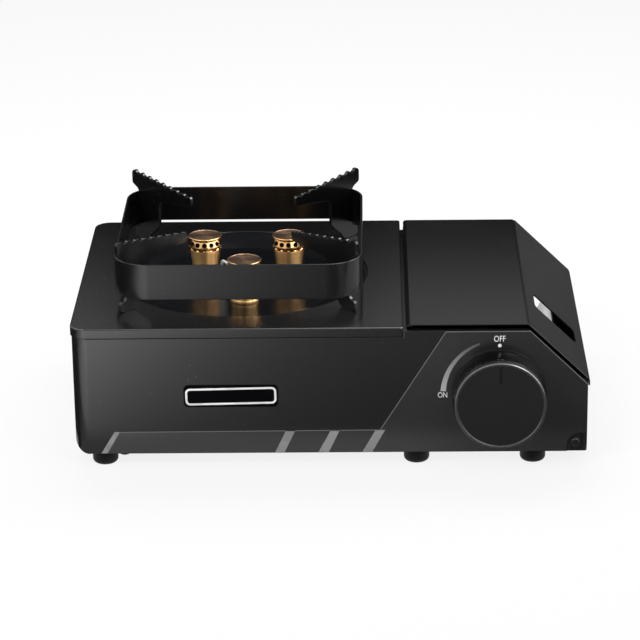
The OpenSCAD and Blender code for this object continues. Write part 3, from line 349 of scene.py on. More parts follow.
# Further finishes for the details that are added here
head_brass = turned("head_brass", LATHE_BRASS, LATHE_SHADE, 0.17)
stem_brass = turned("stem_brass", LATHE_BRASS, LATHE_SHADE, 0.34, pitch=70.0, marks=0.25,
                    stretch=0.93)
cap_brass = turned("cap_brass", (0.82, 0.55, 0.37), (0.5, 0.33, 0.22), 0.3, pitch=120.0,
                   stretch=0.7)
ring_enamel = sprayed("ring_enamel", SUPPORT_BLACK, 0.2, specular=0.62, peel=1100.0, dust=0.35,
                      spread=0.03, depth=0.08)
# near-black colour for the walls of the port holes: painted shade inside the holes
port_painted_shade = moulded("port_painted_shade", (0.03, 0.018, 0.01), 0.6, grain=2400.0, specular=0.2)
film_grey = sprayed("film_grey", (0.0055, 0.0055, 0.0058), 0.2, specular=1.0, peel=1500.0,
                    dust=0.2, spread=0.03, depth=0.06, ior=1.8)
# painted highlight for the film's edge, drawn as a lighter line
film_edge_highlight = sprayed("film_edge_highlight", (0.12, 0.12, 0.122), 0.42, specular=0.4, peel=1500.0, dust=0.1,
                    spread=0.04, depth=0.1)
# a lighter copy of the knob's plastic for its chamfer ring: painted highlight; its stronger gloss
# comes from the shader
knob_edge = moulded("knob_edge", (0.03, 0.03, 0.032), 0.2, depth=0.05, specular=1.0,
                    spread=0.03, ior=1.8)
# a darker copy of the knob's plastic for the knurled grip and the back: painted shade
knob_grip_shade = moulded("knob_grip_shade", (0.0024, 0.0024, 0.003), 0.16, grain=3200.0, depth=0.04,
                    ior=1.3)
stripe_silver = plated("stripe_silver", (0.34, 0.33, 0.34), 0.5, lines=2600.0, depth=0.1,
                       metallic=0.35)
print_white = moulded("print_white", (0.96, 0.96, 0.96), 0.5, grain=3000.0, depth=0.05,
                      shade=0.95)
badge_silver = plated("badge_silver", (0.95, 0.93, 0.94), 0.4, lines=2200.0, depth=0.08,
                      metallic=0.1)
spark_steel = plated("spark_steel", (0.86, 0.85, 0.83), 0.3, lines=2200.0, depth=0.08,
                     metallic=0.45)
corner_black = plated("corner_black", (0.1, 0.1, 0.105), 0.22, lines=1800.0, depth=0.08,
                      metallic=0.9)


# ---------------------------------------------------------------- mesh helpers

LATHE_MAP_SCALE = 0.1


def crease_by_angle(bm, degrees):
    """Smooths every face and keeps the edges sharp that are open or fold by more than this."""
    never_smooth = 4.0
    for face in bm.faces:
        face.smooth = True
    for edge in bm.edges:
        edge.smooth = (len(edge.link_faces) == 2
                       and edge.calc_face_angle(never_smooth) < radians(degrees))


def to_metres(bm):
    """Takes a drawing from the case's corner in millimetres to the shared frame."""
    bmesh.ops.translate(bm, verts=bm.verts, vec=CORNER)
    bmesh.ops.scale(bm, verts=bm.verts, vec=METRES)


def placed(bm, name):
    """Makes an object of a drawing and puts it in the scene."""
    mesh = bpy.data.meshes.new(name)
    bm.to_mesh(mesh)
    bm.free()
    thing = bpy.data.objects.new(name, mesh)
    bpy.context.scene.collection.objects.link(thing)
    return thing


def new_piece(bm, name, body, slot, finish=None, instead=(), crease=34.0, even=True, turning=()):
    """Turns a finished drawing into a piece that rides on a body of the stove."""
    if turning:
        map_turning(bm, turning)
    to_metres(bm)
    crease_by_angle(bm, crease)
    piece = placed(bm, name)
    piece.data.materials.append(finish or finishes[slot])
    if even:
        piece.modifiers.new("even_shading", "WEIGHTED_NORMAL").keep_sharp = True
    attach(piece, body)
    if instead:
        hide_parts(*instead)
    return piece


def map_turning(bm, axes):
    """Keeps each point's radius and height from the nearest lathe axis, and its place round it."""
    turning = bm.loops.layers.uv.new("turning")
    lay = bm.loops.layers.uv.new("lay")
    for face in bm.faces:
        centre = face.calc_center_median()
        axis = min(axes, key=lambda a: (centre.xy - a.xy).length)
        middle = atan2(centre.y - axis.y, centre.x - axis.x)
        is_level = abs(face.normal.z) > 0.7
        for loop in face.loops:
            arm = loop.vert.co - axis
            radius = arm.xy.length
            loop[turning].uv = (radius * LATHE_MAP_SCALE, arm.z * LATHE_MAP_SCALE)
            # measured from the face's middle, so that no face spans the seam
            round_by = (atan2(arm.y, arm.x) - middle + pi) % (2 * pi) - pi if radius > 0.01 else 0.0
            along = radius if is_level else -arm.z
            loop[lay].uv = (along * LATHE_MAP_SCALE, middle + round_by)


def face_out(bm):
    """Turns every face of a closed drawing outwards."""
    bmesh.ops.recalc_face_normals(bm, faces=bm.faces)


def tidy(bm, close=0.0005):
    """Merges points that lie closer than this and turns the faces outwards."""
    bmesh.ops.remove_doubles(bm, verts=bm.verts, dist=close)
    face_out(bm)


def turn(bm, profile, axis, steps=64, up="Z"):
    """Spins an outline of (radius, height) pairs about an upright axis, or one to the rear."""
    axis = Vector(axis)
    upright = up == "Z"
    points = [bm.verts.new(axis + Vector((r, 0, h) if upright else (r, h, 0))) for r, h in profile]
    edges = [bm.edges.new(pair) for pair in zip(points, points[1:])]
    bmesh.ops.spin(bm, geom=points + edges, cent=axis, axis=(0, 0, 1) if upright else (0, 1, 0),
                   angle=2 * pi, steps=steps, use_merge=True, use_duplicate=False)


def merged_copy(node):
    """A copy of a machined part's mesh, joined up, in millimetres from the case's corner."""
    bm = bmesh.new()
    bm.from_mesh(nodes[node].data)
    for layer in list(bm.loops.layers.uv):
        bm.loops.layers.uv.remove(layer)
    bmesh.ops.scale(bm, verts=bm.verts, vec=MILLIMETRES)
    bmesh.ops.translate(bm, verts=bm.verts, vec=-CORNER)
    bmesh.ops.remove_doubles(bm, verts=bm.verts, dist=0.002)
    bmesh.ops.dissolve_limit(bm, angle_limit=radians(0.6), verts=bm.verts, edges=bm.edges)
    return bm


def ease(bm, chosen, width, segments=2):
    """Rounds the folded edges that the test picks from their two ends."""
    least_fold = radians(20)
    edges = [e for e in bm.edges if len(e.link_faces) == 2
             and e.calc_face_angle(0.0) > least_fold
             and chosen(e.verts[0].co, e.verts[1].co)]
    if edges:
        bmesh.ops.bevel(bm, geom=edges, offset=width, offset_type="OFFSET", segments=segments,
                        profile=0.5, affect="EDGES", material=-1, clamp_overlap=False)


def both(test):
    """An edge test that holds when a point test holds at both ends."""
    return lambda a, b: test(a) and test(b)


def outline(bm, points, y):
    """One face through (x, z) points in the plane of this y."""
    return bm.faces.new([bm.verts.new((x, y, z)) for x, z in points])


def made_of(made, kind):
    """The new elements of one kind, out of what an operator made."""
    return [g for g in made["geom"] if isinstance(g, kind)]


def raise_faces(bm, faces, step):
    """Pushes faces out by a step with walls behind them, and returns the faces on top."""
    made = bmesh.ops.extrude_face_region(bm, geom=faces)
    bmesh.ops.translate(bm, verts=made_of(made, bmesh.types.BMVert), vec=step)
    return made_of(made, bmesh.types.BMFace)


def sink_loop(bm, loop, step):
    """Carries a loop of edges down by a step and closes the pocket; returns its floor's corners."""
    made = bmesh.ops.extrude_edge_only(bm, edges=loop)
    corners = made_of(made, bmesh.types.BMVert)
    bmesh.ops.translate(bm, verts=corners, vec=step)
    bmesh.ops.contextual_create(bm, geom=made_of(made, bmesh.types.BMEdge))
    return corners


def loop_edges(bm, points):
    """A closed loop of edges through the points."""
    ring = [bm.verts.new(p) for p in points]
    return [bm.edges.new((a, b)) for a, b in zip(ring, ring[1:] + ring[:1])]


def circle(cx, cy, r, steps):
    return [(cx + r * cos(2 * pi * i / steps), cy + r * sin(2 * pi * i / steps))
            for i in range(steps)]


def arc(cx, cz, r, start, stop, steps, grow=0.0):
    """Points from one angle to another, on a radius that may grow on the way."""
    return [(cx + (r + grow * i / steps) * cos(radians(start + (stop - start) * i / steps)),
             cz + (r + grow * i / steps) * sin(radians(start + (stop - start) * i / steps)))
            for i in range(steps + 1)]


# ---------------------------------------------------------------- camera, first

def place_camera():
    dip, yaw, roll = radians(20.74), radians(1.08), radians(-0.77)
    forward = Vector((-sin(yaw) * cos(dip), cos(yaw) * cos(dip), -sin(dip)))
    right = Vector((cos(yaw), sin(yaw), 0.0))
    up = right.cross(forward)
    across = right * cos(roll) + up * sin(roll)
    upright = up * cos(roll) - right * sin(roll)
    lens = bpy.data.cameras.new("view")
    lens.lens = 167.22
    lens.sensor_width = 36.0
    camera = bpy.data.objects.new("view", lens)
    bpy.context.scene.collection.objects.link(camera)
    turn_to = Matrix((across, upright, -forward)).transposed().to_4x4()
    camera.matrix_world = Matrix.Translation((0.02287, -1.5652, 0.64695)) @ turn_to
    bpy.context.scene.camera = camera


place_camera()


# ---------------------------------------------------------------- sheet parts

def make_burner_plate():
    bm = merged_copy("burner_plate")

    def on_deck(v):
        return abs(v.z - DECK) < 0.01

    def from_bowl(v):
        return (v.xy - BOWL.xy).length

    def under_skirt(v):
        outside = v.x < 0.1 or v.y < 0.1 or v.x > 179.2 or v.y > 177.9
        return abs(v.z - SKIRT_FOOT) < 0.01 and outside

    # the outer edge, the rim of the opening and the skirt's foot
    ease(bm, both(lambda v: on_deck(v) and from_bowl(v) > 71.5), width=0.85, segments=4)
    ease(bm, both(lambda v: on_deck(v) and from_bowl(v) < 71.0), width=0.35, segments=3)
    ease(bm, both(under_skirt), width=0.2)
    new_piece(bm, "burner_plate_eased", "stove", "case_enamel", instead=["burner_plate"])


def make_lid():
    bm = merged_copy("lid")

    def along_an_end(a, b):
        return min(a.z, b.z) > 36.9 and any(abs(a.y - end) < 0.01 and abs(b.y - end) < 0.01
                                            for end in LID_ENDS)

    # the fold between the level and the slanted part, outside and inside, and the lower tip
    ease(bm, both(lambda v: abs(v.x - LID_CREASE) < 0.05 and v.z > 72.5), width=1.3, segments=5)
    ease(bm, both(lambda v: LID_TIP < v.x < LID_TIP + 0.2 and 40.2 < v.z < 40.6), width=1.0,
         segments=4)
    ease(bm, along_an_end, width=0.28)
    new_piece(bm, "lid_eased", "lid", "case_enamel", instead=["lid"])


def make_case():
    bm = merged_copy("body_shell")
    ease(bm, both(lambda v: abs(v.y - CASE_FRONT) < 0.02), width=0.3)
    new_piece(bm, "case_eased", "stove", "case_enamel", instead=["body_shell"])


def make_support():
    bm = merged_copy("support_ring")
    low, high = min(v.co.z for v in bm.verts), max(v.co.z for v in bm.verts)
    ease(bm, both(lambda v: v.z < low + 0.01 or v.z > high - 0.01), width=0.38, segments=3)
    new_piece(bm, "support_ring_eased", "pan_support", "support_enamel", ring_enamel,
              ["support_ring"])
    bm = merged_copy("support_arms")
    ease(bm, lambda a, b: True, width=0.28)
    new_piece(bm, "support_arms_eased", "pan_support", "support_enamel",
              instead=["support_arms"], crease=40.0)


# ---------------------------------------------------------------- bowl and burner heads

def make_bowl():
    bm = bmesh.new()
    section = [(55.0, 0.0), (56.4, 0.1), (57.6, 0.5), (67.4, 4.75), (68.2, 5.2), (69.2, 5.38),
               (74.4, 5.4), (74.4, 4.6), (69.4, 4.6), (68.4, 4.2), (58.0, -0.3), (56.6, -0.7),
               (55.0, -0.8)]
    turn(bm, section, BOWL, steps=128)
    # the floor's upper and lower face, round the holes for the stems and the electrode
    wall = 0.8
    holes = [(head.xy, 5.5) for head in HEADS] + [(ELECTRODE.xy, 2.3)]
    for z in (BOWL.z, BOWL.z - wall):
        edges = [e for e in bm.edges
                 if all(abs(v.co.z - z) < 1e-4
                        and abs((v.co.xy - BOWL.xy).length - BOWL_FLOOR_R) < 1e-3
                        for v in e.verts)]
        for centre, r in holes:
            edges += loop_edges(bm, [(x, y, z) for x, y in circle(centre.x, centre.y, r, 24)])
        bmesh.ops.triangle_fill(bm, edges=edges, use_beauty=True, use_dissolve=False)
    for centre, r in holes:
        rings = [e for e in bm.edges if len(e.link_faces) == 1
                 and all(abs((v.co.xy - centre).length - r) < 1e-3 for v in e.verts)]
        bmesh.ops.bridge_loops(bm, edges=rings)
    tidy(bm)
    new_piece(bm, "drip_bowl_pressed", "stove", "bowl_enamel", instead=["drip_bowl"])


def drill_out(piece, drill):
    """Cuts the drill's shape out of a piece and drops the drill."""
    cut = piece.modifiers.new("drill", "BOOLEAN")
    cut.operation = "DIFFERENCE"
    cut.solver = "EXACT"
    cut.object = drill
    seen = piece.evaluated_get(bpy.context.evaluated_depsgraph_get())
    mesh, old = bpy.data.meshes.new_from_object(seen), piece.data
    piece.modifiers.clear()
    piece.data = mesh
    bpy.data.meshes.remove(old)
    bpy.data.objects.remove(drill)


def port_drill(material):
    """Pegs that slant into each cap's side; the walls they leave take the given material."""
    bm = bmesh.new()
    ports, port_r, depth, lean = 14, 1.4, 4.4, radians(72)
    circle_r, height = 8.3, 4.0
    for head in HEADS:
        for i in range(ports):
            a = 2 * pi * (i + 0.5) / ports
            at = head + Vector((circle_r * cos(a), circle_r * sin(a), height))
            spot = (Matrix.Translation(at) @ Matrix.Rotation(a, 4, "Z")
                    @ Matrix.Rotation(lean, 4, "Y"))
            bmesh.ops.create_cone(bm, cap_ends=True, segments=20, radius1=port_r, radius2=port_r,
                                  depth=depth, matrix=spot)
    to_metres(bm)
    drill = placed(bm, "ports")
    for face in drill.data.polygons:
        face.material_index = material
    return drill


def crown_teeth():
    """A crown of small teeth round the foot of each cap."""
    bm = bmesh.new()
    # the top edge drops by these amounts in turn, four steps to a tooth
    steps, drops, near_top = 56, (0.0, 0.55, 1.0, 0.55), 1.2
    for head in HEADS:
        turn(bm, [(8.55, 0.0), (8.7, 0.5), (8.95, 1.4)], head, steps)
    for vert in bm.verts:
        head = min(HEADS, key=lambda h: (h.xy - vert.co.xy).length)
        arm = vert.co - head
        if arm.z > near_top:
            vert.co.z -= drops[round(atan2(arm.y, arm.x) / (2 * pi) * steps) % len(drops)]
    tidy(bm)
    bmesh.ops.solidify(bm, geom=bm.faces[:], thickness=0.45)
    return bm


def make_heads():
    cap = [(0, 7.7), (4, 7.69), (8.45, 7.7), (8.55, 7.79), (9.1, 7.8), (9.3, 7.72), (9.45, 7.5),
           (9.5, 7.2), (9.4, 6.95), (8.9, 6.75), (8.0, 6.6), (7.85, 6.3), (8.0, 6.0), (8.35, 5.6),
           (8.9, 4.3), (9.35, 3.2), (9.62, 2.6), (9.66, 2.3), (9.5, 2.0), (9.0, 1.8),
           (8.1, 1.75), (7.7, 1.6), (7.6, 0.3), (7.2, 0.0), (6.15, 0.0), (6.1, -3.9), (0, -3.9)]
    stem = [(4.2, -23.5), (5.4, -23.3), (5.4, -16.4), (8.0, -16.2), (8.2, -15.9), (8.2, -14.9),
            (8.0, -14.6), (7.7, -14.3), (7.6, -13.6), (7.7, -9), (8.0, -6), (8.35, -3.5),
            (8.6, -1.4), (8.72, -0.5), (8.7, -0.1), (8.55, 0.0), (6.3, 0.0), (6.25, -4.4),
            (4.3, -4.6), (4.2, -23.5)]
    caps, stems = bmesh.new(), bmesh.new()
    for head in HEADS:
        turn(caps, cap, head, steps=96)
        turn(stems, stem, head, steps=72)
    tidy(caps)
    tidy(stems)
    faced, turned_side, shaded_ports = 0, 1, 2
    face_height = HEAD_SEAT + CORNER.z + 7.65
    # the walls that the drill leaves in the caps take the painted shade
    drill = port_drill(shaded_ports)
    piece = new_piece(caps, "burner_caps_turned", "stove", "brass", cap_brass, ["burner_caps"],
                      crease=38.0, turning=HEADS, even=False)
    piece.data.materials.append(head_brass)
    piece.data.materials.append(port_painted_shade)
    for face in piece.data.polygons:
        face.material_index = faced if face.center.z * 1000 > face_height else turned_side
    drill_out(piece, drill)
    new_piece(stems, "burner_stems_turned", "stove", "brass", stem_brass, ["burner_stems"],
              crease=38.0, turning=HEADS)
    new_piece(crown_teeth(), "burner_crowns", "stove", "brass", head_brass, ["burner_caps"],
              crease=30.0, turning=HEADS)


def make_electrode():
    """Glazed nose round the spark wire, and the wire that bends over towards the front head."""
    bm = bmesh.new()
    nose = [(0.82, 77.6), (2.15, 77.6), (2.15, 78.6), (1.95, 79.3), (1.5, 79.8), (0.95, 79.9),
            (0.82, 79.7), (0.82, 77.6)]
    turn(bm, nose, ELECTRODE, steps=32)
    tidy(bm)
    new_piece(bm, "electrode_nose", "stove", "ceramic", even=False)
    bm = bmesh.new()
    foot, bend_at, bend_r, wire_r, reach = 72.0, 81.2, 2.0, 0.8, 5.0
    to_front_head = radians(-58)
    bmesh.ops.create_circle(bm, cap_ends=True, radius=wire_r, segments=16,
                            matrix=Matrix.Translation((0, 0, foot)))
    top = raise_faces(bm, bm.faces[:], (0, 0, bend_at - foot))[0]
    made = bmesh.ops.spin(bm, geom=[top] + list(top.edges) + list(top.verts),
                          cent=(bend_r, 0, bend_at), axis=(0, 1, 0), angle=pi / 2, steps=8,
                          use_merge=False, use_duplicate=False)
    end = [f for f in made["geom_last"] if isinstance(f, bmesh.types.BMFace)]
    raise_faces(bm, end[:1], (reach, 0, 0))
    bmesh.ops.rotate(bm, verts=bm.verts, cent=(0, 0, 0),
                     matrix=Matrix.Rotation(to_front_head, 3, "Z"))
    bmesh.ops.translate(bm, verts=bm.verts, vec=ELECTRODE)
    face_out(bm)
    new_piece(bm, "electrode_tip_bent", "stove", "bright_screw", spark_steel, ["electrode_tip"],
              crease=50.0, even=False)


# ---------------------------------------------------------------- knob

def make_knob():
    bm = bmesh.new()
    steps, rows = 104, 5
    # face with the pointer groove let into it
    face_r, face_y = 22.4, KNOB.y + 0.42
    disc = loop_edges(bm, [(x, face_y, z) for x, z in circle(KNOB.x, KNOB.z, face_r, steps)])
    half, low, high = 0.78, KNOB.z + 13.6, KNOB.z + 21.4
    slot = arc(KNOB.x, low, half, 180, 360, 8) + arc(KNOB.x, high, half, 0, 180, 8)
    groove = loop_edges(bm, [(x, face_y, z) for x, z in slot])
    bmesh.ops.triangle_fill(bm, edges=disc + groove, use_beauty=True, use_dissolve=False)
    sink_loop(bm, groove, (0, 0.8, 0))
    # rim and smooth front band, knurled grip, hollow back with its hub
    side = [(face_r, 0.42), (22.75, 0.38), (23.05, 0.2), (23.35, 0.04), (23.8, 0.0),
            (24.15, 0.06), (24.6, 0.42), (24.78, 0.9), (24.8, 1.3), (24.8, 3.1), (24.7, 3.35),
            (24.45, 3.5), (24.45, 3.75), (24.75, 3.95)]
    start, length = 4.1, 10.6
    knurl = [(24.82 + 0.45 * i / rows, start + length * i / rows) for i in range(rows + 1)]
    back = [(25.3, 14.95), (25.3, 15.7), (25.1, 16.0), (22.8, 16.0), (22.8, 3.2), (6.4, 3.2),
            (6.4, 16.0), (3.05, 16.0), (3.05, 3.4), (0.0, 3.4)]
    turn(bm, side + knurl + back, KNOB, steps, up="Y")
    tidy(bm)
    # knurling: every second crossing of the grid stands proud and the others are sunk
    proud, sunk = 0.3, -0.7
    for vert in bm.verts:
        arm = vert.co - KNOB
        r = Vector((arm.x, arm.z)).length
        place = (arm.y - start) / (length / rows)
        row = round(place)
        if r > 24.7 and 0 < row < rows and abs(place - row) < 0.05:
            col = round(atan2(arm.z, arm.x) / (2 * pi) * steps)
            lift = proud if (col + row) % 2 == 0 else sunk
            vert.co.x += arm.x / r * lift
            vert.co.z += arm.z / r * lift
    bm.normal_update()
    # the grip and the back take the darker copy of the plastic as painted shade
    lit_rim_index, shaded_grip_index = 1, 2
    for face in bm.faces:
        arm = face.calc_center_median() - KNOB
        # painted highlight: the chamfer ring takes the lighter copy of the plastic
        if 22.9 < Vector((arm.x, arm.z)).length < 24.7 and arm.y < 0.6:
            face.material_index = lit_rim_index
        elif arm.y > 3.4:
            face.material_index = shaded_grip_index
    piece = new_piece(bm, "knob_turned", "knob", "knob_plastic", instead=["knob"], crease=24.0)
    piece.data.materials.append(knob_edge)
    piece.data.materials.append(knob_grip_shade)


# ---------------------------------------------------------------- badge, film and printing

def rounded(cx, cz, half_w, half_h, r, tilt=0.0):
    """A rectangle with round corners, turned about its middle by tilt degrees."""
    points = []
    for sx, sz, start in ((1, 1, 0), (-1, 1, 90), (-1, -1, 180), (1, -1, 270)):
        points += arc(sx * (half_w - r), sz * (half_h - r), r, start, start + 90, 8)
    c, d = cos(radians(tilt)), sin(radians(tilt))
    return [(cx + x * c - z * d, cz + x * d + z * c) for x, z in points]


def make_badge():
    # black plate, silver line round it, black field inside the line: each with its half width,
    # half height and corner radius, its tilt, where it starts in front of the case, its thickness
    black = finishes["badge_plate"]
    layers = [("badge_body", (25.5, 6.25, 2.5), 0.0, 0.0, 0.5, black),
              ("badge_border", (24.6, 4.85, 2.6), 1.0, 0.5, 0.06, badge_silver),
              ("badge_field", (23.45, 3.7, 1.6), 1.0, 0.54, 0.05, black)]
    for name, (half_w, half_h, r), tilt, proud, thick, finish in layers:
        bm = bmesh.new()
        face = outline(bm, rounded(86.2, 33.65, half_w, half_h, r, tilt), CASE_FRONT - proud)
        raise_faces(bm, [face], (0, -thick, 0))
        face_out(bm)
        new_piece(bm, name, "stove", "badge_plate", finish, ["badge_plate"], even=False)


# How thick the film is, and how far each layer of the front's trim stands proud of the case
FILM_THICK = 0.03
FILM_PROUD, EDGE_HIGHLIGHT_PROUD, STRIPE_PROUD = 0.05, 0.06, 0.09
WORD_PROUD, DOT_PROUD, SWEEP_PROUD = 0.075, 0.07, 0.05
FILM_OUTLINE = [(18.1, SILL), (278.6, SILL), (278.5, 39.5), (247.5, 70.0), (202.0, 70.0),
                (166.6, 13.4), (25.2, 12.9)]


def flat_patch(name, points, proud, finish):
    """A thin printed or laid-on patch whose face stands proud of the case's front."""
    bm = bmesh.new()
    face = outline(bm, points, CASE_FRONT - proud + FILM_THICK)
    raise_faces(bm, [face], (0, -FILM_THICK, 0))
    face_out(bm)
    new_piece(bm, name, "stove", "case_enamel", finish, even=False)


def make_front_film():
    # film round the knob and along the sill, cut round the corner screw's recess
    corner = arc(274.9, 3.7, 7.3, 180, 90, 8)[1:]
    recess = [(267.6, SILL), (267.6, 3.7)] + corner + [(278.6, 11.0)]
    flat_patch("trim_film", FILM_OUTLINE[:1] + recess + FILM_OUTLINE[2:], FILM_PROUD, film_grey)
    # painted highlight: a lighter line along the film's upper and left edge, standing in for the
    # light its edge would catch
    bm = bmesh.new()
    face = outline(bm, FILM_OUTLINE, CASE_FRONT - EDGE_HIGHLIGHT_PROUD)
    bm.normal_update()
    bmesh.ops.inset_region(bm, faces=[face], thickness=0.42, depth=0.0, use_even_offset=True,
                           use_boundary=True)
    bm.faces.ensure_lookup_table()
    near_sill, near_right = 2.0, 277.0
    drop = [face]
    for f in bm.faces:
        c = f.calc_center_median()
        if f is not face and (c.z < near_sill or c.x > near_right):
            drop.append(f)
    bmesh.ops.delete(bm, geom=drop, context="FACES")
    raise_faces(bm, bm.faces[:], (0, -FILM_THICK, 0))
    face_out(bm)
    new_piece(bm, "trim_edge_highlight", "stove", "case_enamel", film_edge_highlight, even=False)
    # slanted stripes: top left, top right, bottom right and bottom left x, and the top's z
    stripes = [("end", 22.6, 25.2, 18.1, 15.0, 12.9), ("first", 115.7, 120.7, 114.7, 109.5, 13.2),
               ("second", 139.9, 144.8, 138.7, 133.1, 13.2),
               ("third", 164.2, 169.4, 162.3, 157.0, 13.2)]
    for name, tl, tr, br, bl, top in stripes:
        flat_patch("stripe_" + name, [(bl, SILL), (br, SILL), (tr, top), (tl, top)],
                   STRIPE_PROUD, stripe_silver)


def printed_word(name, word, x0, x1, z0, z1):
    """A word in ink, drawn out to fill the given frame on the case's front."""
    curve = bpy.data.curves.new(name, "FONT")
    curve.body = word
    curve.extrude = 0.01
    curve.resolution_u = 6
    holder = bpy.data.objects.new(name + "_curve", curve)
    bpy.context.scene.collection.objects.link(holder)
    seen = holder.evaluated_get(bpy.context.evaluated_depsgraph_get())
    mesh = bpy.data.meshes.new_from_object(seen)
    bpy.data.objects.remove(holder)
    bm = bmesh.new()
    bm.from_mesh(mesh)
    bmesh.ops.remove_doubles(bm, verts=bm.verts, dist=1e-5)
    xs = [v.co.x for v in bm.verts]
    ys = [v.co.y for v in bm.verts]
    wide, tall = (x1 - x0) / (max(xs) - min(xs)), (z1 - z0) / (max(ys) - min(ys))
    for v in bm.verts:
        v.co = Vector((x0 + (v.co.x - min(xs)) * wide,
                       CASE_FRONT - WORD_PROUD - v.co.z * 1.2,
                       z0 + (v.co.y - min(ys)) * tall))
    face_out(bm)
    new_piece(bm, name, "stove", "case_enamel", print_white, even=False)
    bpy.data.meshes.remove(mesh)


def make_dial_marks():
    printed_word("dial_off", "OFF", 227.9, 234.0, 64.0, 67.4)
    printed_word("dial_on", "ON", 197.9, 202.9, 31.9, 35.0)
    bm = bmesh.new()
    spot = (Matrix.Translation((231.0, CASE_FRONT - DOT_PROUD, 61.75))
            @ Matrix.Rotation(pi / 2, 4, "X"))
    bmesh.ops.create_cone(bm, cap_ends=True, segments=28, radius1=1.02, radius2=1.0, depth=0.05,
                          matrix=spot)
    new_piece(bm, "dial_dot", "stove", "case_enamel", print_white, even=False)
    # sweep from ON up towards OFF, which narrows as its inner radius grows
    bm = bmesh.new()
    cx, cz, start, stop, steps = 231.1, 33.4, 175.9, 110.0, 28
    lines = []
    for r, grow in ((31.9, 0.0), (28.9, 1.9)):
        points = arc(cx, cz, r, start, stop, steps, grow)
        ring = [bm.verts.new((x, CASE_FRONT - SWEEP_PROUD, z)) for x, z in points]
        lines += [bm.edges.new(pair) for pair in zip(ring, ring[1:])]
    bmesh.ops.bridge_loops(bm, edges=lines)
    raise_faces(bm, bm.faces[:], (0, -0.04, 0))
    face_out(bm)
    new_piece(bm, "dial_sweep", "stove", "case_enamel", sweep_finish(), even=False)


def sweep_finish():
    """Silver ink that fades towards the top of the sweep."""
    mat, net, put, place = blank_finish("sweep_ink", specular=0.4)
    rise = net.span(net.axes(place)[2], 0.043, 0.071, 0.0, 1.0)
    speck = net.noise(place, 1800.0)
    tone = net.blend(rise, rgb(0.56, 0.53, 0.55), rgb(0.07, 0.07, 0.072))
    fleck = net.maths("MULTIPLY", speck, 0.2)
    net.feed(put["Base Color"], net.blend(fleck, tone, rgb(0.2, 0.2, 0.2)))
    net.feed(put["Roughness"], net.sway(speck, 0.36, 0.5))
    net.feed(put["Normal"], net.bump(speck, 0.1, STREAK_RISE))
    return mat


# ---------------------------------------------------------------- screws

def pan_screw(bm, at, way, head_r, head_h, shank_r, shank_l):
    """Pan-head screw with a cross recess; way points from the shank out through the head."""
    own = bmesh.new()
    top_r, arm, half = head_r * 0.8, head_r * 0.56, head_r * 0.15
    rim = loop_edges(own, [(x, y, head_h) for x, y in circle(0.0, 0.0, top_r, 32)])
    cross = [(half, arm), (-half, arm), (-half, half), (-arm, half), (-arm, -half), (-half, -half),
             (-half, -arm), (half, -arm), (half, -half), (arm, -half), (arm, half), (half, half)]
    recess = loop_edges(own, [(x, y, head_h) for x, y in cross])
    bmesh.ops.triangle_fill(own, edges=rim + recess, use_beauty=True, use_dissolve=False)
    deep = sink_loop(own, recess, (0, 0, -head_h * 0.6))
    bmesh.ops.scale(own, verts=deep, vec=(0.7, 0.7, 1.0))
    side = [(top_r, head_h), (head_r * 0.93, head_h * 0.86), (head_r, head_h * 0.55),
            (head_r, 0.08), (head_r - 0.08, 0), (shank_r, 0), (shank_r, -shank_l + 0.3),
            (shank_r - 0.3, -shank_l), (0, -shank_l)]
    turn(own, side, (0, 0, 0), steps=32)
    tidy(own, close=0.001)
    swing = Vector((0, 0, 1)).rotation_difference(Vector(way)).to_matrix().to_4x4()
    bmesh.ops.transform(own, matrix=Matrix.Translation(at) @ swing, verts=own.verts)
    mesh = bpy.data.meshes.new("screw")
    own.to_mesh(mesh)
    own.free()
    bm.from_mesh(mesh)
    bpy.data.meshes.remove(mesh)


def make_screws():
    down, forward = (0, 0, -1), (0, -1, 0)
    feet = [(x, y, -4.0) for x in (16.5, 186.5, 249.7) for y in (8.6, 169.4)]
    base = [(27.5, 4.8, 0.0), (27.5, 173.2, 0.0), (120, 12, 0.0), (120, 166, 0.0), (267, 20, 0.0),
            (267, 164, 0.0)]
    # node, slot, own finish, places, way, then the head's and the shank's radius and length
    sets = [("foot_screws", "bright_screw", None, feet, down, (2.9, 1.4, 1.5, 7.6)),
            ("base_screws", "black_screw", None, base, down, (2.9, 1.4, 1.5, 4.1)),
            ("corner_screw", "black_screw", corner_black, [(272.3, 1.7, 5.1)], forward,
             (2.65, 1.3, 1.5, 6.0))]
    for node, slot, finish, places, way, sizes in sets:
        bm = bmesh.new()
        for at in places:
            pan_screw(bm, at, way, *sizes)
        new_piece(bm, node + "_cross", "stove", slot, finish, [node], crease=30.0, even=False)


# ---------------------------------------------------------------- finish every machined part

slot_of = {p["node"]: p["material_slot"] for p in frame["record"]["subparts"]}
for part_name, part in nodes.items():
    part.data.materials.clear()
    part.data.materials.append(finishes[slot_of[part_name]])

make_burner_plate()
make_lid()
make_case()
make_support()
make_bowl()
make_heads()
make_electrode()
make_knob()
make_badge()
make_front_film()
make_dial_marks()
make_screws()


# ---------------------------------------------------------------- stage and light

def seen_directly(net):
    """One for rays from the camera or a mirror, and nothing for those that light a surface."""
    path = net.add("ShaderNodeLightPath").outputs
    mirrored = net.maths("MAXIMUM", path["Is Camera Ray"], path["Is Glossy Ray"])
    return net.maths("MAXIMUM", mirrored, path["Is Transmission Ray"])


def stage_material(name):
    """A material without its Principled shader, its net, and the socket for its surface."""
    mat = bpy.data.materials.new(name)
    mat.use_nodes = True
    mat.node_tree.nodes.remove(mat.node_tree.nodes["Principled BSDF"])
    return mat, Net(mat.node_tree), mat.node_tree.nodes["Material Output"].inputs["Surface"]


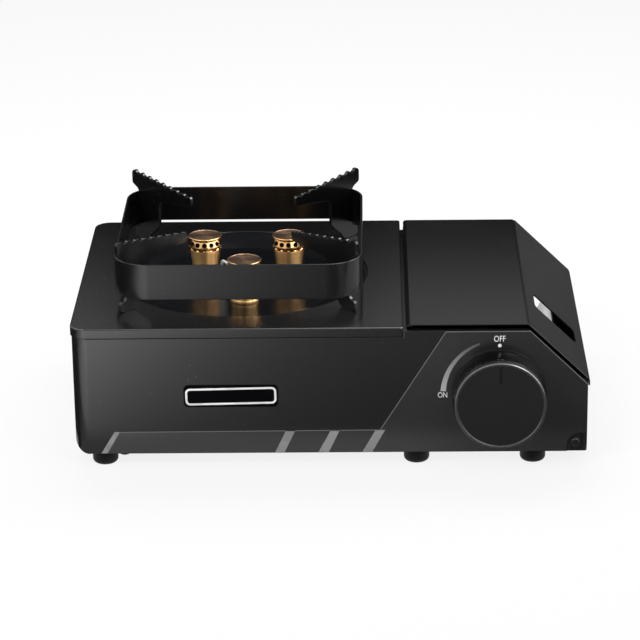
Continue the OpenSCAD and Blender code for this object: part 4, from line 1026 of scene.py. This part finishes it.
def studio_floor():
    bm = bmesh.new()
    bmesh.ops.create_grid(bm, x_segments=1, y_segments=1, size=5.0)
    floor = placed(bm, "floor")
    mat, net, surface = stage_material("floor_white")
    seen = seen_directly(net)
    paper = net.add("ShaderNodeBsdfDiffuse")
    paper.inputs["Color"].default_value = rgb(0.8, 0.8, 0.8)
    glow = net.add("ShaderNodeEmission")
    glow.inputs["Color"].default_value = rgb(1, 1, 1)
    glow.inputs["Strength"].default_value = 1.0
    mix = net.add("ShaderNodeMixShader")
    net.feed(mix.inputs[0], net.maths("MULTIPLY", seen, 0.84))
    net.feed(mix.inputs[1], paper.outputs[0])
    net.feed(mix.inputs[2], glow.outputs[0])
    net.feed(surface, mix.outputs[0])
    floor.data.materials.append(mat)


def studio_card(name, corners, shade):
    """A card that shows only as a reflection; shade draws its tones from its x, y and z."""
    bm = bmesh.new()
    bm.faces.new([bm.verts.new(c) for c in corners])
    card = placed(bm, name)
    mat, net, surface = stage_material(name)
    x, y, z = net.axes(net.add("ShaderNodeTexCoord").outputs["Object"])
    glow = net.add("ShaderNodeEmission")
    net.feed(glow.inputs["Strength"], shade(net, x, y, z))
    net.feed(surface, glow.outputs[0])
    card.data.materials.append(mat)
    card.visible_camera = False
    card.visible_diffuse = False
    card.visible_shadow = False
    card.visible_transmission = False


def lying(x0, y0, x1, y1, z):
    """Corners of a level card."""
    return [(x0, y0, z), (x1, y0, z), (x1, y1, z), (x0, y1, z)]


def standing(x0, y0, x1, y1, z0, z1):
    """Corners of an upright card from one place on the floor to another."""
    return [(x0, y0, z0), (x1, y1, z0), (x1, y1, z1), (x0, y0, z1)]


def graded(net, value, stops):
    """Straight-line tones between (place, strength) stops."""
    total = stops[0][1]
    for (x0, s0), (x1, s1) in zip(stops, stops[1:]):
        total = net.maths("ADD", total, net.span(value, x0, x1, 0.0, s1 - s0))
    return total


def times(net, a, b):
    return net.maths("MULTIPLY", a, b)


def rest_of(net, share):
    return net.maths("SUBTRACT", 1.0, share)


def even_tone(tone):
    """The shade of a card with one tone all over."""
    return lambda net, x, y, z: net.maths("ADD", tone, 0.0)


def floor_tones(net, x, y, z):
    """Bright at the left and dark at the right, with its own row of tones close to the case."""
    across = graded(net, x, [
        (-0.5, 0.03), (-0.36, 0.08), (-0.31, 0.9), (-0.24, 1.6), (-0.17, 1.6), (-0.135, 1.2),
        (-0.12, 0.95), (-0.1, 0.74), (-0.07, 0.51), (-0.04, 0.37), (-0.01, 0.28), (0.02, 0.21),
        (0.06, 0.2), (0.09, 0.14), (0.12, 0.11), (0.15, 0.11), (0.2, 0.25), (0.25, 0.85),
        (0.275, 0.1), (0.5, 0.04)])
    depth = net.span(y, -0.27, -0.13, 1.0, 0.5)
    fall = net.maths("ADD", net.span(x, -0.07, 0.01, 0.0, 0.5),
                     net.span(x, -0.16, -0.1, -0.05, -0.4))
    dusk = times(net, net.span(y, -0.3, -0.285, 1.0, 0.0), fall)
    close = net.span(y, -0.132, -0.115, 0.0, 1.0)
    edge = graded(net, x, [
        (-0.22, 0.08), (-0.16, 0.28), (0.0, 0.27), (0.045, 0.25), (0.09, 0.14), (0.14, 0.1),
        (0.2, 0.08)])
    open_floor = times(net, times(net, across, depth), rest_of(net, dusk))
    return net.maths("ADD", times(net, open_floor, rest_of(net, close)), times(net, edge, close))


def rear_tones(net, x, y, z):
    """A soft horizon with a hollow behind the pan support, and a low glow at the far right."""
    climb = graded(net, z, [(0.2, 0.0), (0.235, 0.01), (0.31, 0.36), (0.4, 0.36), (0.55, 0.12),
                            (0.9, 0.02)])
    hollow = times(net, net.span(x, -0.172, -0.15, 0.0, 0.82), net.span(x, 0.0, 0.022, 1.0, 0.0))
    climb = times(net, climb, rest_of(net, hollow))
    side = net.span(x, 0.2, 0.26, 0.0, 1.0)
    low = times(net, net.span(z, 0.15, 0.25, 1.0, 0.0), times(net, side, 0.13))
    return net.maths("ADD", climb, low)


def strip_tones(net, x, y, z):
    """Bright at both ends and dim over the pan support."""
    return graded(net, x, [(-0.5, 7.5), (-0.4, 7.5), (-0.3, 2.0), (-0.06, 2.0), (0.03, 8.0),
                           (0.5, 8.0)])


def side_tones(net, x, y, z):
    """Brighter high up and towards the right."""
    climb = graded(net, z, [(0.2, 3.0), (0.74, 3.0), (0.8, 9.0), (1.4, 9.0)])
    return times(net, climb, net.span(x, -0.1, 0.1, 0.3, 1.0))


def studio_world():
    world = bpy.data.worlds.new("studio")
    bpy.context.scene.world = world
    world.use_nodes = True
    net = Net(world.node_tree)
    back = world.node_tree.nodes["Background"]
    back.inputs["Color"].default_value = rgb(1, 1, 1)
    net.feed(back.inputs["Strength"], net.span(seen_directly(net), 0.0, 1.0, 0.45, 1.0))


def soft_light(name, at, towards, size, power, tall=None):
    """An area light that doesn't show in reflections, which are left to the cards."""
    lamp = bpy.data.lights.new(name, "AREA")
    lamp.energy = power
    lamp.size = size
    if tall:
        lamp.shape = "RECTANGLE"
        lamp.size_y = tall
    holder = bpy.data.objects.new(name, lamp)
    bpy.context.scene.collection.objects.link(holder)
    aim = (Vector(towards) - Vector(at)).to_track_quat("-Z", "Y")
    holder.matrix_world = Matrix.Translation(at) @ aim.to_matrix().to_4x4()
    holder.visible_glossy = False


ON_FLOOR = 0.001
CARD_FRONT = -0.083

studio_floor()
studio_world()
studio_card("floor_card", lying(-0.6, -0.75, 0.6, CARD_FRONT, ON_FLOOR), floor_tones)
studio_card("rear_card", standing(-0.6, 0.5, 0.6, 0.5, 0.0, 0.9), rear_tones)
studio_card("roof_card", lying(-0.5, -0.35, 0.5, 0.5, 0.95), even_tone(0.03))
studio_card("strip_card", lying(-0.5, -0.36, 0.5, -0.02, 0.94), strip_tones)
studio_card("front_card", standing(-0.6, -1.9, 0.6, -1.9, 0.3, 1.6), even_tone(0.25))
studio_card("right_card", standing(0.35, -1.15, 0.98, -0.62, 0.66, 1.2), even_tone(5.5))
for side in (-1, 1):
    studio_card("side_floor_card", lying(side * 0.155, CARD_FRONT, side * 0.9, 0.5, ON_FLOOR),
                even_tone(0.03))
    studio_card("side_card", standing(side * 0.9, -0.6, side * 0.9, 0.6, 0.2, 1.4), side_tones)
soft_light("key", (-0.75, -0.9, 0.95), (-0.05, 0, 0.05), 0.7, 9.0)
soft_light("top", (0.0, 0.45, 0.8), (0.0, 0.0, 0.05), 0.8, 6.0, 0.4)
soft_light("fill", (0.9, -0.7, 0.6), (0.05, 0, 0.04), 0.8, 4.0)
bpy.context.scene.view_settings.view_transform = "Standard"
